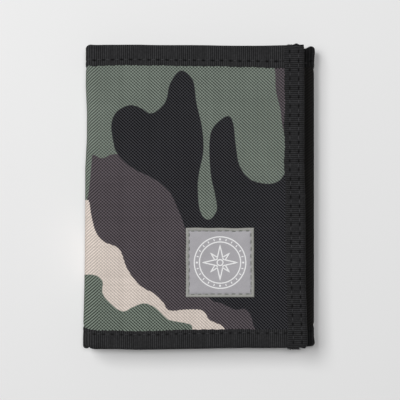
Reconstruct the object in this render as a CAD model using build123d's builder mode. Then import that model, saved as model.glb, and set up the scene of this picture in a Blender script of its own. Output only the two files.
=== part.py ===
"""Trifold nylon wallet, closed, lying on its back panel.

Millimetres. +Z is up through the stacked layers, +Y runs along the folds towards the open
edge of the note compartment, +X runs from the left fold to the free end of the front flap.
The origin is the centre of the footprint, on the surface that the wallet lies on.

The wallet folds like a letter. The back panel stays put, the inner flap is folded over it
from the right and the front flap is folded over both from the left. Each fold is a narrow
strip between two hinge lines, which lie on the inner face of the outer cloth.
"""
import os

from build123d import *

os.makedirs("parts", exist_ok=True)

# ------------------------------------------------------------------ driving dimensions
wallet_width = 93.9
flap_width = 90.2
flap_height = 125.0
back_height = 122.0
left_fold_height = 123.6
inner_height = 124.2
inner_flap_width = 55.0

tape_thickness = 0.45
tape_width = 8.2
narrow_tape_width = 5.4
shell_thickness = 0.7
liner_thickness = 0.4
pocket_cloth = 0.35
note_gap = 0.8
card_gap = 0.8
coin_gap = 1.1
hinge_gap = 0.3
corner_clearance = 1.6
cloth_corner = 0.4
fold_tape_inset = 0.9
fold_lining_inset = 0.75

# ------------------------------------------------------------------ layers of the stack
back_shell_z = tape_thickness
back_inside_z = back_shell_z + shell_thickness
back_liner_z = back_inside_z + note_gap
back_liner_top = back_liner_z + liner_thickness
slot_tape_thickness = 0.25
slot_pitch_z = card_gap + pocket_cloth
slot_stack_top = back_liner_top + 3 * slot_pitch_z

slip_cloth = 0.3
slip_gap = 0.3
layer_clearance = 0.3
slip_pocket_z = slot_stack_top + slot_tape_thickness + layer_clearance
inner_liner_z = slip_pocket_z + slip_cloth + slip_gap
inner_liner_top = inner_liner_z + pocket_cloth
inner_gap = 0.5
inner_shell_z = inner_liner_top + inner_gap
inner_shell_top = inner_shell_z + shell_thickness
coin_front_z = inner_shell_top + coin_gap
coin_front_top = coin_front_z + pocket_cloth

loop_thickness = 1.4
hook_thickness = 1.6
closure_gap = 0.25
hook_z = coin_front_top + loop_thickness + closure_gap
front_liner_z = hook_z + hook_thickness
front_liner_top = front_liner_z + liner_thickness
front_shell_z = front_liner_top + note_gap
front_shell_top = front_shell_z + shell_thickness
front_tape_top = front_shell_top + tape_thickness

# ------------------------------------------------------------------ edges in plan
left_x = -wallet_width / 2
right_x = wallet_width / 2
left_hinge_x = left_x + tape_thickness + shell_thickness
right_hinge_x = right_x - tape_thickness - shell_thickness
flap_end_x = left_x + flap_width
inner_end_x = right_hinge_x - inner_flap_width
panel_half = right_hinge_x - hinge_gap
pocket_half = right_hinge_x - corner_clearance
flap_top_y = flap_height / 2
back_top_y = back_height / 2
left_fold_top_y = left_fold_height / 2
inner_top_y = inner_height / 2
end_tape_overhang = 0.4
liner_drop = 9.6

# ------------------------------------------------------------------ sewing
stitch_pitch = 3.74
stitch_length = 2.5
stitch_width = 0.5
stitch_height = 0.12
seam_end_inset = 2.2
top_seam_inset = 6.2
bottom_seam_inset = 6.5
end_seam_insets = (2.4, 6.0)


def save(piece, name):
    """Label a finished piece and write it."""
    piece.part.label = name
    export_step(piece.part, f"parts/{name}.step")


def cloth_layer(x_span, y_span, z_low, thickness, corner=cloth_corner):
    """A flat layer of cloth with slightly rounded corners."""
    width = x_span[1] - x_span[0]
    height = y_span[1] - y_span[0]
    centre = (sum(x_span) / 2, sum(y_span) / 2)
    with BuildPart() as layer:
        with BuildSketch(Plane.XY.offset(z_low)):
            with Locations(centre):
                RectangleRounded(width, height, corner)
        extrude(amount=thickness)
    return layer


def fold_layer(x_low, thickness, y_span, z_span):
    """An upright layer of cloth in the strip between the two hinge lines of a fold."""
    with BuildPart() as layer:
        with BuildSketch(Plane.XY.offset(z_span[0])):
            with Locations((x_low, y_span[0])):
                Rectangle(thickness, y_span[1] - y_span[0], align=(Align.MIN, Align.MIN))
        extrude(amount=z_span[1] - z_span[0])
    return layer


def folded_tape(plane, length, edge, inward, grip, width, thickness=tape_thickness):
    """Grosgrain folded over an edge: a leg on each face of what it grips, and a web.

    The section lies in `plane`, whose first axis crosses the tape and whose second axis runs
    through the layers. The web's outer face is at `edge`, the legs reach `width` inward, and
    `grip` gives the two faces of the layers between them.
    """
    inner_end = edge + inward * width
    web_face = edge + inward * thickness
    outer_low = min(edge, inner_end)
    slot_low = min(web_face, inner_end)
    grip_height = grip[1] - grip[0]
    with BuildPart() as tape:
        with BuildSketch(plane):
            with Locations((outer_low, grip[0] - thickness)):
                Rectangle(width, grip_height + 2 * thickness, align=(Align.MIN, Align.MIN))
            with Locations((slot_low, grip[0])):
                Rectangle(
                    width - thickness,
                    grip_height,
                    align=(Align.MIN, Align.MIN),
                    mode=Mode.SUBTRACT,
                )
        extrude(amount=length)
    return tape


def tape_along_x(x_span, edge_y, inward, grip, width=tape_width, thickness=tape_thickness):
    """A folded tape on a top or bottom edge of flat layers."""
    length = x_span[1] - x_span[0]
    return folded_tape(Plane.YZ.offset(x_span[0]), length, edge_y, inward, grip, width, thickness)


def tape_along_z(z_span, edge_y, inward, grip, width=tape_width):
    """A folded tape on a top or bottom edge of the upright layers of a fold."""
    plane = Plane(origin=(0, 0, z_span[0]), x_dir=(0, 1, 0), z_dir=(0, 0, 1))
    # The section's second axis is -X in this plane, so the faces are given the other way.
    flipped_grip = (-grip[1], -grip[0])
    return folded_tape(plane, z_span[1] - z_span[0], edge_y, inward, flipped_grip, width)


def tape_along_y(y_span, edge_x, inward, grip, width=tape_width):
    """A folded tape on the free end of a flap."""
    plane = Plane(origin=(0, y_span[1], 0), x_dir=(1, 0, 0), z_dir=(0, -1, 0))
    return folded_tape(plane, y_span[1] - y_span[0], edge_x, inward, grip, width)


def sewn_pocket(x_span, y_span, base_z, gap, front_thickness, seam=1.0):
    """A pocket front with folded seams on three sides, open at the top.

    The seams stand on the layer behind at `base_z` and hold the front `gap` away from it,
    downwards when `gap` is negative.
    """
    front_z = base_z + gap if gap > 0 else base_z + gap - front_thickness
    seam_z = min(base_z, base_z + gap)
    width = x_span[1] - x_span[0]
    height = y_span[1] - y_span[0]
    corner = (x_span[0], y_span[0])
    low = (Align.MIN, Align.MIN)
    with BuildPart() as pocket:
        with BuildSketch(Plane.XY.offset(front_z)):
            with Locations(corner):
                Rectangle(width, height, align=low)
        extrude(amount=front_thickness)
        with BuildSketch(Plane.XY.offset(seam_z)):
            with Locations(corner):
                Rectangle(width, height, align=low)
            with Locations((x_span[0] + seam, y_span[0] + seam)):
                Rectangle(width - 2 * seam, height - seam, align=low, mode=Mode.SUBTRACT)
        extrude(amount=abs(gap))
    return pocket


def stitch_row(places, z_low, along_x):
    """Separate thread stitches lying on a face, each a low bar with round ends."""
    with BuildPart() as row:
        with BuildSketch(Plane.XY.offset(z_low)):
            with Locations(*places):
                SlotOverall(stitch_length, stitch_width, rotation=0 if along_x else 90)
        extrude(amount=stitch_height)
    return row


def spaced(low, high, pitch):
    """Evenly spaced places from low to high, at about the given pitch."""
    count = round((high - low) / pitch) + 1
    step = (high - low) / (count - 1)
    return [low + step * index for index in range(count)]


# ------------------------------------------------------------------ back panel
panel_x = (-panel_half, panel_half)
lining_x = (-pocket_half, pocket_half)
web_inset = tape_thickness
back_y = (-back_top_y + web_inset, back_top_y - web_inset)
back_liner_y = (back_y[0], back_top_y - liner_drop)

back_shell = cloth_layer(panel_x, back_y, back_shell_z, shell_thickness)
save(back_shell, "back_shell")

back_liner = cloth_layer(lining_x, back_liner_y, back_liner_z, liner_thickness)
save(back_liner, "back_liner")

back_shell_grip = (back_shell_z, back_inside_z)
back_top_binding = tape_along_x(lining_x, back_top_y, -1, back_shell_grip)
save(back_top_binding, "back_top_binding")

back_bottom_grip = (back_shell_z, back_liner_top)
back_bottom_binding = tape_along_x(lining_x, -back_top_y, 1, back_bottom_grip)
save(back_bottom_binding, "back_bottom_binding")

back_liner_grip = (back_liner_z, back_liner_top)
back_liner_edge_y = back_liner_y[1] + web_inset
back_liner_binding = tape_along_x(
    lining_x, back_liner_edge_y, -1, back_liner_grip, narrow_tape_width, pocket_cloth
)
save(back_liner_binding, "back_liner_binding")

# ------------------------------------------------------------------ card slots
slot_above_tape = 0.8
slot_bottom_y = -back_top_y + tape_width + slot_above_tape
slot_top_y = 34.0
slot_step_y = 14.0
slot_tape_width = 4.0

for tier in range(3):
    tier_base_z = back_liner_top + tier * slot_pitch_z
    tier_top_y = slot_top_y - tier * slot_step_y
    tier_y = (slot_bottom_y, tier_top_y)
    card_slot = sewn_pocket(lining_x, tier_y, tier_base_z, card_gap, pocket_cloth)
    save(card_slot, f"card_slot_{tier + 1}")

    tier_face_z = tier_base_z + slot_pitch_z
    slot_tape_y = (tier_top_y - slot_tape_width, tier_top_y)
    slot_tape = cloth_layer(lining_x, slot_tape_y, tier_face_z, slot_tape_thickness)
    save(slot_tape, f"card_slot_{tier + 1}_tape")

# ------------------------------------------------------------------ left fold
left_fold_y = (-left_fold_top_y + web_inset, left_fold_top_y - web_inset)
left_fold_z = (back_inside_z + hinge_gap, front_shell_z - hinge_gap)
left_shell_x = left_hinge_x - shell_thickness
left_liner_x = left_hinge_x + note_gap
left_tape_z = (back_inside_z + fold_tape_inset, front_shell_z - fold_tape_inset)
left_lining_z = (back_liner_top + fold_lining_inset, front_liner_z - fold_lining_inset)

left_fold_shell = fold_layer(left_shell_x, shell_thickness, left_fold_y, left_fold_z)
save(left_fold_shell, "left_fold_shell")

left_liner_y = (left_fold_y[0], back_liner_y[1])
left_fold_liner = fold_layer(left_liner_x, liner_thickness, left_liner_y, left_lining_z)
save(left_fold_liner, "left_fold_liner")

left_shell_grip = (left_shell_x, left_hinge_x)
left_fold_top_binding = tape_along_z(left_tape_z, left_fold_top_y, -1, left_shell_grip)
save(left_fold_top_binding, "left_fold_top_binding")

left_bottom_grip = (left_shell_x, left_liner_x + liner_thickness)
left_fold_bottom_binding = tape_along_z(left_lining_z, -left_fold_top_y, 1, left_bottom_grip)
save(left_fold_bottom_binding, "left_fold_bottom_binding")

# ------------------------------------------------------------------ front flap
front_y = (-flap_top_y + web_inset, flap_top_y - web_inset)
front_shell_x = (-panel_half, flap_end_x - web_inset)
front_liner_x = (-pocket_half, flap_end_x - web_inset)
front_liner_y = (front_y[0], flap_top_y - liner_drop)
end_tape_x = flap_end_x - tape_width
side_tape_x = (-pocket_half, end_tape_x)

front_flap_shell = cloth_layer(front_shell_x, front_y, front_shell_z, shell_thickness)
save(front_flap_shell, "front_flap_shell")

front_flap_liner = cloth_layer(front_liner_x, front_liner_y, front_liner_z, liner_thickness)
save(front_flap_liner, "front_flap_liner")

front_shell_grip = (front_shell_z, front_shell_top)
front_flap_top_binding = tape_along_x(side_tape_x, flap_top_y, -1, front_shell_grip)
save(front_flap_top_binding, "front_flap_top_binding")

front_full_grip = (front_liner_z, front_shell_top)
front_flap_bottom_binding = tape_along_x(side_tape_x, -flap_top_y, 1, front_full_grip)
save(front_flap_bottom_binding, "front_flap_bottom_binding")

end_tape_y = (-flap_top_y - end_tape_overhang, flap_top_y + end_tape_overhang)
front_flap_end_binding = tape_along_y(end_tape_y, flap_end_x, -1, front_full_grip)
save(front_flap_end_binding, "front_flap_end_binding")

front_liner_grip = (front_liner_z, front_liner_top)
front_liner_edge_y = front_liner_y[1] + web_inset
front_flap_liner_binding = tape_along_x(
    side_tape_x, front_liner_edge_y, -1, front_liner_grip, narrow_tape_width, pocket_cloth
)
save(front_flap_liner_binding, "front_flap_liner_binding")

# ------------------------------------------------------------------ woven label
label_width = 28.0
label_height = 28.2
label_x = 8.5
label_y = -27.1
label_thickness = 0.45
label_corner = 0.6
label_stitch_inset = 1.3
label_seam_end = 1.8

with BuildPart() as label_patch:
    with BuildSketch(Plane.XY.offset(front_shell_top)):
        with Locations((label_x, label_y)):
            RectangleRounded(label_width, label_height, label_corner)
    extrude(amount=label_thickness)
save(label_patch, "label_patch")

label_seam_x = label_width / 2 - label_stitch_inset
label_seam_y = label_height / 2 - label_stitch_inset
label_top = front_shell_top + label_thickness
across = spaced(-label_seam_x + label_seam_end, label_seam_x - label_seam_end, stitch_pitch)
along = spaced(-label_seam_y + label_seam_end, label_seam_y - label_seam_end, stitch_pitch)
with BuildPart() as label_stitches:
    with BuildSketch(Plane.XY.offset(label_top)):
        for side in (-1, 1):
            with Locations(*[(label_x + x, label_y + side * label_seam_y) for x in across]):
                SlotOverall(stitch_length, stitch_width)
            with Locations(*[(label_x + side * label_seam_x, label_y + y) for y in along]):
                SlotOverall(stitch_length, stitch_width, rotation=90)
    extrude(amount=stitch_height)
save(label_stitches, "label_stitches")

# ------------------------------------------------------------------ stitches in the tapes
top_seam_y = flap_top_y - top_seam_inset
bottom_seam_y = -flap_top_y + bottom_seam_inset
side_places = spaced(-pocket_half + seam_end_inset, end_tape_x - seam_end_inset, stitch_pitch)
top_row = [(x, top_seam_y) for x in side_places]
bottom_row = [(x, bottom_seam_y) for x in side_places]
front_edge_stitches = stitch_row(top_row + bottom_row, front_tape_top, along_x=True)
save(front_edge_stitches, "front_edge_stitches")

end_places = spaced(-flap_top_y + seam_end_inset, flap_top_y - seam_end_inset, stitch_pitch)
end_rows = [(flap_end_x - inset, y) for inset in end_seam_insets for y in end_places]
front_end_stitches = stitch_row(end_rows, front_tape_top, along_x=False)
save(front_end_stitches, "front_end_stitches")

# ------------------------------------------------------------------ identity card pocket
id_pocket_x = (-43.0, 15.4)
id_pocket_y = (-53.0, 32.4)
id_seam = 1.2
id_border = 5.0
id_window_corner = 4.0
id_window_lap = 1.0
id_front_z = front_liner_z - card_gap - pocket_cloth

window_x = (id_pocket_x[0] + id_border, id_pocket_x[1] - id_border)
window_y = (id_pocket_y[0] + id_border, id_pocket_y[1] - id_border)
window_size = (window_x[1] - window_x[0], window_y[1] - window_y[0])
window_centre = (sum(window_x) / 2, sum(window_y) / 2)

with BuildPart() as id_pocket:
    pocket_width = id_pocket_x[1] - id_pocket_x[0]
    pocket_height = id_pocket_y[1] - id_pocket_y[0]
    with BuildSketch(Plane.XY.offset(id_front_z)):
        with Locations((id_pocket_x[0], id_pocket_y[0])):
            Rectangle(pocket_width, pocket_height, align=(Align.MIN, Align.MIN))
        with Locations(window_centre):
            RectangleRounded(*window_size, id_window_corner, mode=Mode.SUBTRACT)
    extrude(amount=pocket_cloth)
    with BuildSketch(Plane.XY.offset(id_front_z + pocket_cloth)):
        with Locations((id_pocket_x[0], id_pocket_y[0])):
            Rectangle(pocket_width, pocket_height, align=(Align.MIN, Align.MIN))
        with Locations((id_pocket_x[0] + id_seam, id_pocket_y[0] + id_seam)):
            Rectangle(
                pocket_width - 2 * id_seam,
                pocket_height - id_seam,
                align=(Align.MIN, Align.MIN),
                mode=Mode.SUBTRACT,
            )
    extrude(amount=card_gap)
save(id_pocket, "id_pocket")

film_thickness = 0.2
with BuildPart() as id_window:
    with BuildSketch(Plane.XY.offset(id_front_z + pocket_cloth)):
        with Locations(window_centre):
            RectangleRounded(
                window_size[0] + 2 * id_window_lap,
                window_size[1] + 2 * id_window_lap,
                id_window_corner + id_window_lap,
            )
    extrude(amount=film_thickness)
save(id_window, "id_window")

# ------------------------------------------------------------------ hook and loop closure
closure_x = (18.5, 34.5)
closure_y = (-48.0, 26.0)
closure_corner = 1.0

hook_strip = cloth_layer(closure_x, closure_y, hook_z, hook_thickness, corner=closure_corner)
save(hook_strip, "hook_strip")

loop_strip = cloth_layer(
    closure_x, closure_y, coin_front_top, loop_thickness, corner=closure_corner
)
save(loop_strip, "loop_strip")

# ------------------------------------------------------------------ right fold
inner_y = (-inner_top_y + web_inset, inner_top_y - web_inset)
inner_liner_y = (inner_y[0], inner_top_y - liner_drop)
right_fold_z = (back_inside_z + hinge_gap, inner_shell_z - hinge_gap)
right_liner_x = right_hinge_x - note_gap - liner_thickness
right_tape_z = (back_inside_z + fold_tape_inset, inner_shell_z - fold_tape_inset)
right_lining_z = (back_liner_top + fold_lining_inset, inner_liner_z - fold_lining_inset)

right_fold_shell = fold_layer(right_hinge_x, shell_thickness, inner_y, right_fold_z)
save(right_fold_shell, "right_fold_shell")

right_fold_liner = fold_layer(right_liner_x, liner_thickness, inner_liner_y, right_lining_z)
save(right_fold_liner, "right_fold_liner")

right_shell_grip = (right_hinge_x, right_hinge_x + shell_thickness)
right_fold_top_binding = tape_along_z(right_tape_z, inner_top_y, -1, right_shell_grip)
save(right_fold_top_binding, "right_fold_top_binding")

right_bottom_grip = (right_liner_x, right_hinge_x + shell_thickness)
right_fold_bottom_binding = tape_along_z(right_lining_z, -inner_top_y, 1, right_bottom_grip)
save(right_fold_bottom_binding, "right_fold_bottom_binding")

# ------------------------------------------------------------------ inner flap
inner_shell_x = (inner_end_x + web_inset, panel_half)
inner_liner_x = (inner_end_x + web_inset, pocket_half)
inner_side_tape_x = (inner_end_x + tape_width, pocket_half)

inner_flap_shell = cloth_layer(inner_shell_x, inner_y, inner_shell_z, shell_thickness)
save(inner_flap_shell, "inner_flap_shell")

inner_flap_liner = cloth_layer(inner_liner_x, inner_liner_y, inner_liner_z, pocket_cloth)
save(inner_flap_liner, "inner_flap_liner")

inner_shell_grip = (inner_shell_z, inner_shell_top)
inner_flap_top_binding = tape_along_x(inner_side_tape_x, inner_top_y, -1, inner_shell_grip)
save(inner_flap_top_binding, "inner_flap_top_binding")

inner_full_grip = (inner_liner_z, inner_shell_top)
inner_flap_bottom_binding = tape_along_x(inner_side_tape_x, -inner_top_y, 1, inner_full_grip)
save(inner_flap_bottom_binding, "inner_flap_bottom_binding")

inner_end_y = (-inner_top_y, inner_top_y)
inner_flap_end_binding = tape_along_y(inner_end_y, inner_end_x, 1, inner_full_grip)
save(inner_flap_end_binding, "inner_flap_end_binding")

pocket_end_inset = 0.6
pocket_fold_inset = 1.0
slip_top_y = 12.0
inner_pocket_x = (inner_end_x + tape_width + pocket_end_inset, pocket_half - pocket_fold_inset)
slip_pocket_y = (slot_bottom_y, slip_top_y)
slip_pocket = sewn_pocket(inner_pocket_x, slip_pocket_y, inner_liner_z, -slip_gap, slip_cloth)
save(slip_pocket, "slip_pocket")

# ------------------------------------------------------------------ coin pocket
zip_y = 38.0
zip_opening = 7.6
coin_below_tape = 0.4
coin_high_y = inner_top_y - tape_width - coin_below_tape
coin_seam = 1.5

coin_front_y = (slot_bottom_y, zip_y - zip_opening / 2)
coin_pocket_front = sewn_pocket(
    inner_pocket_x, coin_front_y, inner_shell_top, coin_gap, pocket_cloth, coin_seam
)
save(coin_pocket_front, "coin_pocket_front")

with BuildPart() as coin_pocket_upper:
    strip_low_y = zip_y + zip_opening / 2
    strip_width = inner_pocket_x[1] - inner_pocket_x[0]
    with BuildSketch(Plane.XY.offset(coin_front_z)):
        with Locations((inner_pocket_x[0], strip_low_y)):
            Rectangle(strip_width, coin_high_y - strip_low_y, align=(Align.MIN, Align.MIN))
    extrude(amount=pocket_cloth)
    with BuildSketch(Plane.XY.offset(inner_shell_top)):
        with Locations((inner_pocket_x[0], coin_high_y - coin_seam)):
            Rectangle(strip_width, coin_seam, align=(Align.MIN, Align.MIN))
    extrude(amount=coin_gap)
save(coin_pocket_upper, "coin_pocket_upper")

# ------------------------------------------------------------------ zip
zip_tape_thickness = 0.4
zip_tape_depth = 7.4
zip_tape_corner = 0.1
zip_split = 0.6
coil_gap = 0.55
coil_width = 1.45
coil_height = 0.9
coil_pitch = 1.35
coil_bar = 0.85
coil_x = (2.2, 41.0)
zip_tape_z = coin_front_z - zip_tape_thickness
zip_stop_length = 1.2
zip_stop_offset = 1.6
zip_stop_corner = 0.3

for side, name in ((-1, "lower"), (1, "upper")):
    near_y = zip_y + side * zip_split
    far_y = zip_y + side * zip_tape_depth
    zip_tape_y = (min(near_y, far_y), max(near_y, far_y))
    zip_tape_x = (inner_pocket_x[0] + coin_seam, inner_pocket_x[1] - coin_seam)
    zip_tape = cloth_layer(
        zip_tape_x, zip_tape_y, zip_tape_z, zip_tape_thickness, zip_tape_corner
    )
    save(zip_tape, f"zip_tape_{name}")

    coil_y = zip_y + side * (coil_gap + coil_width / 2)
    with BuildPart() as zip_coil:
        with BuildSketch(Plane.XY.offset(coin_front_z)):
            with Locations(*[(x, coil_y) for x in spaced(*coil_x, coil_pitch)]):
                SlotOverall(coil_width, coil_bar, rotation=90)
        extrude(amount=coil_height)
    save(zip_coil, f"zip_coil_{name}")

with BuildPart() as zip_stops:
    stop_x = (coil_x[0] - zip_stop_offset, coil_x[1] + zip_stop_offset)
    stop_y = coil_gap + coil_width / 2
    with BuildSketch(Plane.XY.offset(coin_front_z)):
        with Locations(*[(x, zip_y + s * stop_y) for x in stop_x for s in (-1, 1)]):
            RectangleRounded(zip_stop_length, coil_width, zip_stop_corner)
    extrude(amount=coil_height)
save(zip_stops, "zip_stops")

# ------------------------------------------------------------------ zip slider and pull
slider_length = 7.6
slider_half_width = 3.3
slider_corner = 1.4
slider_mouth = 1.5
slider_x = 6.6
slider_side = 0.7
slider_post = 0.7
running_gap = 0.15
roof_thickness = 0.5
floor_thickness = 0.4
roof_z = coin_front_z + coil_height + running_gap
floor_z = zip_tape_z - running_gap - floor_thickness
side_low_z = coin_front_z + running_gap
roof_top = roof_z + roof_thickness
post_length = 1.4
bail_half_width = 0.5
bail_length = 4.4
bail_leg = 0.6
bail_wire = 0.25
pull_thickness = 0.6
pull_length = 12.0
pull_width = 4.4
pull_bar = 0.6
pull_lift = 0.25
pull_z = roof_top + pull_lift
bail_height = pull_lift + pull_thickness + pull_lift + bail_wire

with BuildPart() as zip_slider:
    with BuildSketch(Plane.XY.offset(roof_z)):
        with Locations((slider_x, zip_y)):
            RectangleRounded(slider_length, 2 * slider_half_width, slider_corner)
    extrude(amount=roof_thickness)
    with BuildSketch(Plane.XY.offset(side_low_z)):
        for side in (-1, 1):
            with Locations((slider_x, zip_y + side * (slider_half_width - slider_side / 2))):
                Rectangle(slider_length - 2 * slider_mouth, slider_side)
    extrude(amount=roof_z - side_low_z)
    with BuildSketch(Plane.XY.offset(floor_z)):
        with Locations((slider_x, zip_y)):
            RectangleRounded(slider_length, 2 * slider_half_width, slider_corner)
    extrude(amount=floor_thickness)
    with BuildSketch(Plane.XY.offset(floor_z)):
        with Locations((slider_x - slider_length / 2 + post_length, zip_y)):
            Rectangle(post_length, slider_post)
    extrude(amount=roof_z - floor_z)
    with BuildSketch(Plane.XZ.offset(-zip_y - bail_half_width)):
        with Locations((slider_x, roof_top)):
            Rectangle(bail_length, bail_height, align=(Align.CENTER, Align.MIN))
            Rectangle(
                bail_length - 2 * bail_leg,
                bail_height - bail_wire,
                align=(Align.CENTER, Align.MIN),
                mode=Mode.SUBTRACT,
            )
    extrude(amount=2 * bail_half_width)
save(zip_slider, "zip_slider")

pull_hinge_offset = 0.6
pull_hinge_x = slider_x - pull_hinge_offset
pull_eye_length = 3.6
pull_eye_width = 2.0
pull_hole_radius = 1.0
pull_hole_inset = 2.4
pull_corner = 1.6
with BuildPart() as zip_pull:
    with BuildSketch(Plane.XY.offset(pull_z)):
        with Locations((pull_hinge_x - pull_bar / 2, zip_y)):
            Rectangle(pull_length, pull_width, align=(Align.MIN, Align.CENTER))
        with Locations((pull_hinge_x + pull_bar / 2 + pull_eye_length / 2, zip_y)):
            SlotOverall(pull_eye_length, pull_eye_width, mode=Mode.SUBTRACT)
        with Locations((pull_hinge_x + pull_length - pull_hole_inset, zip_y)):
            Circle(pull_hole_radius, mode=Mode.SUBTRACT)
    extrude(amount=pull_thickness)
    fillet(zip_pull.edges().filter_by(Axis.Z).group_by(Axis.X)[-1], pull_corner)
save(zip_pull, "zip_pull")
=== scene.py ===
import math

import bmesh
import bpy
import numpy as np
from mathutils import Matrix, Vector


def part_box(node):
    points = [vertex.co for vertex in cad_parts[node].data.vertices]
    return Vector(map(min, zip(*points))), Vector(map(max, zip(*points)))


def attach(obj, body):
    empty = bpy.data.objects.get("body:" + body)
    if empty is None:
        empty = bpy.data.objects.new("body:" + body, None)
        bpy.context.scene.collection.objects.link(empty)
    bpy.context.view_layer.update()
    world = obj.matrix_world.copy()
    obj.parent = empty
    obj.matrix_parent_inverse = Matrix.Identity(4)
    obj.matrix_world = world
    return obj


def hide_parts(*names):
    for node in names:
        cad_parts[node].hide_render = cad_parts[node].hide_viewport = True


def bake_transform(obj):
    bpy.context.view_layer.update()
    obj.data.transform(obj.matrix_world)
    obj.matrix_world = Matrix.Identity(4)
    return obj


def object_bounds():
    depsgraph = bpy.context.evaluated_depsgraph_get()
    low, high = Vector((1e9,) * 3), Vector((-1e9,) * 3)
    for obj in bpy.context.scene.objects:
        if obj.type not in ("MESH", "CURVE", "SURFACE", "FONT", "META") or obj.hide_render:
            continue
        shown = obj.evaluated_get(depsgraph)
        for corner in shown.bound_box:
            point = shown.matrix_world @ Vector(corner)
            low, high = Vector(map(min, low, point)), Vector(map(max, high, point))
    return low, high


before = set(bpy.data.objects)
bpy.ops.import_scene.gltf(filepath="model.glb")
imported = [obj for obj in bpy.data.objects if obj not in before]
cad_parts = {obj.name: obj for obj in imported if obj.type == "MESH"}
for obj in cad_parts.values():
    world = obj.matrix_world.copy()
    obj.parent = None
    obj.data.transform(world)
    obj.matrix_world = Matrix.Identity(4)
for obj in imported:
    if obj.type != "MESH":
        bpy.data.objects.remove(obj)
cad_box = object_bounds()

# A closed trifold wallet of printed nylon, lying on its back panel.
#
# Every sewn piece is described in the wallet's own cloth coordinates, as if it were unfolded
# flat: `s` runs along the cloth from the front flap's free end round the left fold, across the
# back and round the right fold to the inner flap's free end, `y` runs along the folds, and `n`
# stands out from the middle of the outer cloth. `cloth.place` folds those into space.

MM = 0.001
TURN = 2 * math.pi


# ------------------------------------------------------------------ reading the frame
def span(node, axis):
    """A node's lowest and highest place along one axis."""
    low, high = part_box(node)
    return low[axis], high[axis]


def middle(node, axis):
    return sum(span(node, axis)) / 2


def thickness_of(node, axis=2):
    low, high = span(node, axis)
    return high - low


# ------------------------------------------------------------------ the folded line
LEFT_RADIUS = 3.0 * MM
RIGHT_RADIUS = 2.5 * MM
ARC_POINTS = 16


class FoldedLine:
    """The middle of the outer cloth, seen along the folds, with its corners rounded."""

    def __init__(self, corners, radii):
        self.s, self.x, self.z, self.nx, self.nz = [], [], [], [], []
        self.legs = []
        self.arcs = []
        here = 0.0
        for number, ((x0, z0), (x1, z1)) in enumerate(zip(corners, corners[1:])):
            length = math.hypot(x1 - x0, z1 - z0)
            dx, dz = (x1 - x0) / length, (z1 - z0) / length
            before, after = radii[number], radii[number + 1]
            straight = length - before - after
            start = (x0 + before * dx, z0 + before * dz)
            end = (x1 - after * dx, z1 - after * dz)
            self.legs.append((here, here + straight, start, (dx, dz)))
            self._add(here, start, (dz, -dx))
            here += straight
            self._add(here, end, (dz, -dx))
            if after:
                centre = (end[0] - after * dz, end[1] + after * dx)
                facing = math.atan2(-dx, dz)
                for step in range(1, ARC_POINTS):
                    turn = step / ARC_POINTS * math.pi / 2
                    normal = (math.cos(facing + turn), math.sin(facing + turn))
                    point = (centre[0] + after * normal[0], centre[1] + after * normal[1])
                    self._add(here + after * turn, point, normal)
                self.arcs.append((here, here + after * math.pi / 2))
                here += after * math.pi / 2
        self.length = here

    def _add(self, s, point, normal):
        for values, value in zip((self.s, self.x, self.z, self.nx, self.nz), (s, *point, *normal)):
            values.append(value)

    def on_leg(self, leg, x=None, z=None):
        """The `s` of a point of a straight leg, given its x or its z."""
        start_s, _, (x0, z0), (dx, dz) = self.legs[leg]
        return start_s + ((x - x0) * dx if x is not None else (z - z0) * dz)

    def stations(self, start, end, step, arc_step=0.4 * MM):
        """Places along the cloth from start to end, closer together round the folds."""
        zones = [(a, b, step) for a, b, _, _ in self.legs]
        zones += [(a, b, min(step, arc_step)) for a, b in self.arcs]
        places = []
        if start < 0:
            places.append(np.linspace(start, min(end, 0), 1 + math.ceil(-start / step))[:-1])
        for a, b, each in sorted(zones):
            a, b = max(a, start), min(b, end)
            if b > a + 1e-9:
                count = max(1, round((b - a) / each))
                places.append(np.linspace(a, b, count + 1)[:-1])
        return np.append(np.concatenate(places), end)

    def place(self, s, y, n):
        """Cloth coordinates to space."""
        s, y, n = np.broadcast_arrays(*(np.asarray(v, float) for v in (s, y, n)))
        n = n + fold_bulge(s, y)
        held = np.clip(s, 0, self.length)
        nx, nz = np.interp(held, self.s, self.nx), np.interp(held, self.s, self.nz)
        x = np.interp(held, self.s, self.x) + n * nx - (s - held) * nz
        z = np.interp(held, self.s, self.z) + n * nz + (s - held) * nx
        return np.stack([x, y, z], axis=-1)


def smooth(value, low, high):
    """0 below low, 1 above high, and smooth between."""
    t = np.clip((np.asarray(value, float) - low) / (high - low), 0, 1)
    return t * t * (3 - 2 * t)


def plateau(value, low, full, wane, high):
    """0 below low, 1 from full to wane, 0 above high, and smooth between."""
    return smooth(value, low, full) * (1 - smooth(value, wane, high))


def bump(value, centre, width):
    return np.exp(-(((np.asarray(value, float) - centre) / width) ** 2))


def undulation(a, b, wavelength, seed, waves=7):
    """A smooth irregular height of about -1 to 1 over a plane."""
    rng = np.random.default_rng(seed)
    total = 0.0
    for _ in range(waves):
        angle, phase = rng.uniform(0, TURN, 2)
        k = TURN / (wavelength * rng.uniform(0.7, 1.6))
        total = total + np.sin(k * (a * math.cos(angle) + b * math.sin(angle)) + phase)
    return total / math.sqrt(waves) / 1.4


front_z = middle("front_flap_shell", 2)
back_z = middle("back_shell", 2)
inner_z = middle("inner_flap_shell", 2)
left_x = middle("left_fold_shell", 0)
right_x = middle("right_fold_shell", 0)
flap_end_x = span("front_flap_shell", 0)[1]
inner_end_x = span("inner_flap_shell", 0)[0]

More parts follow.
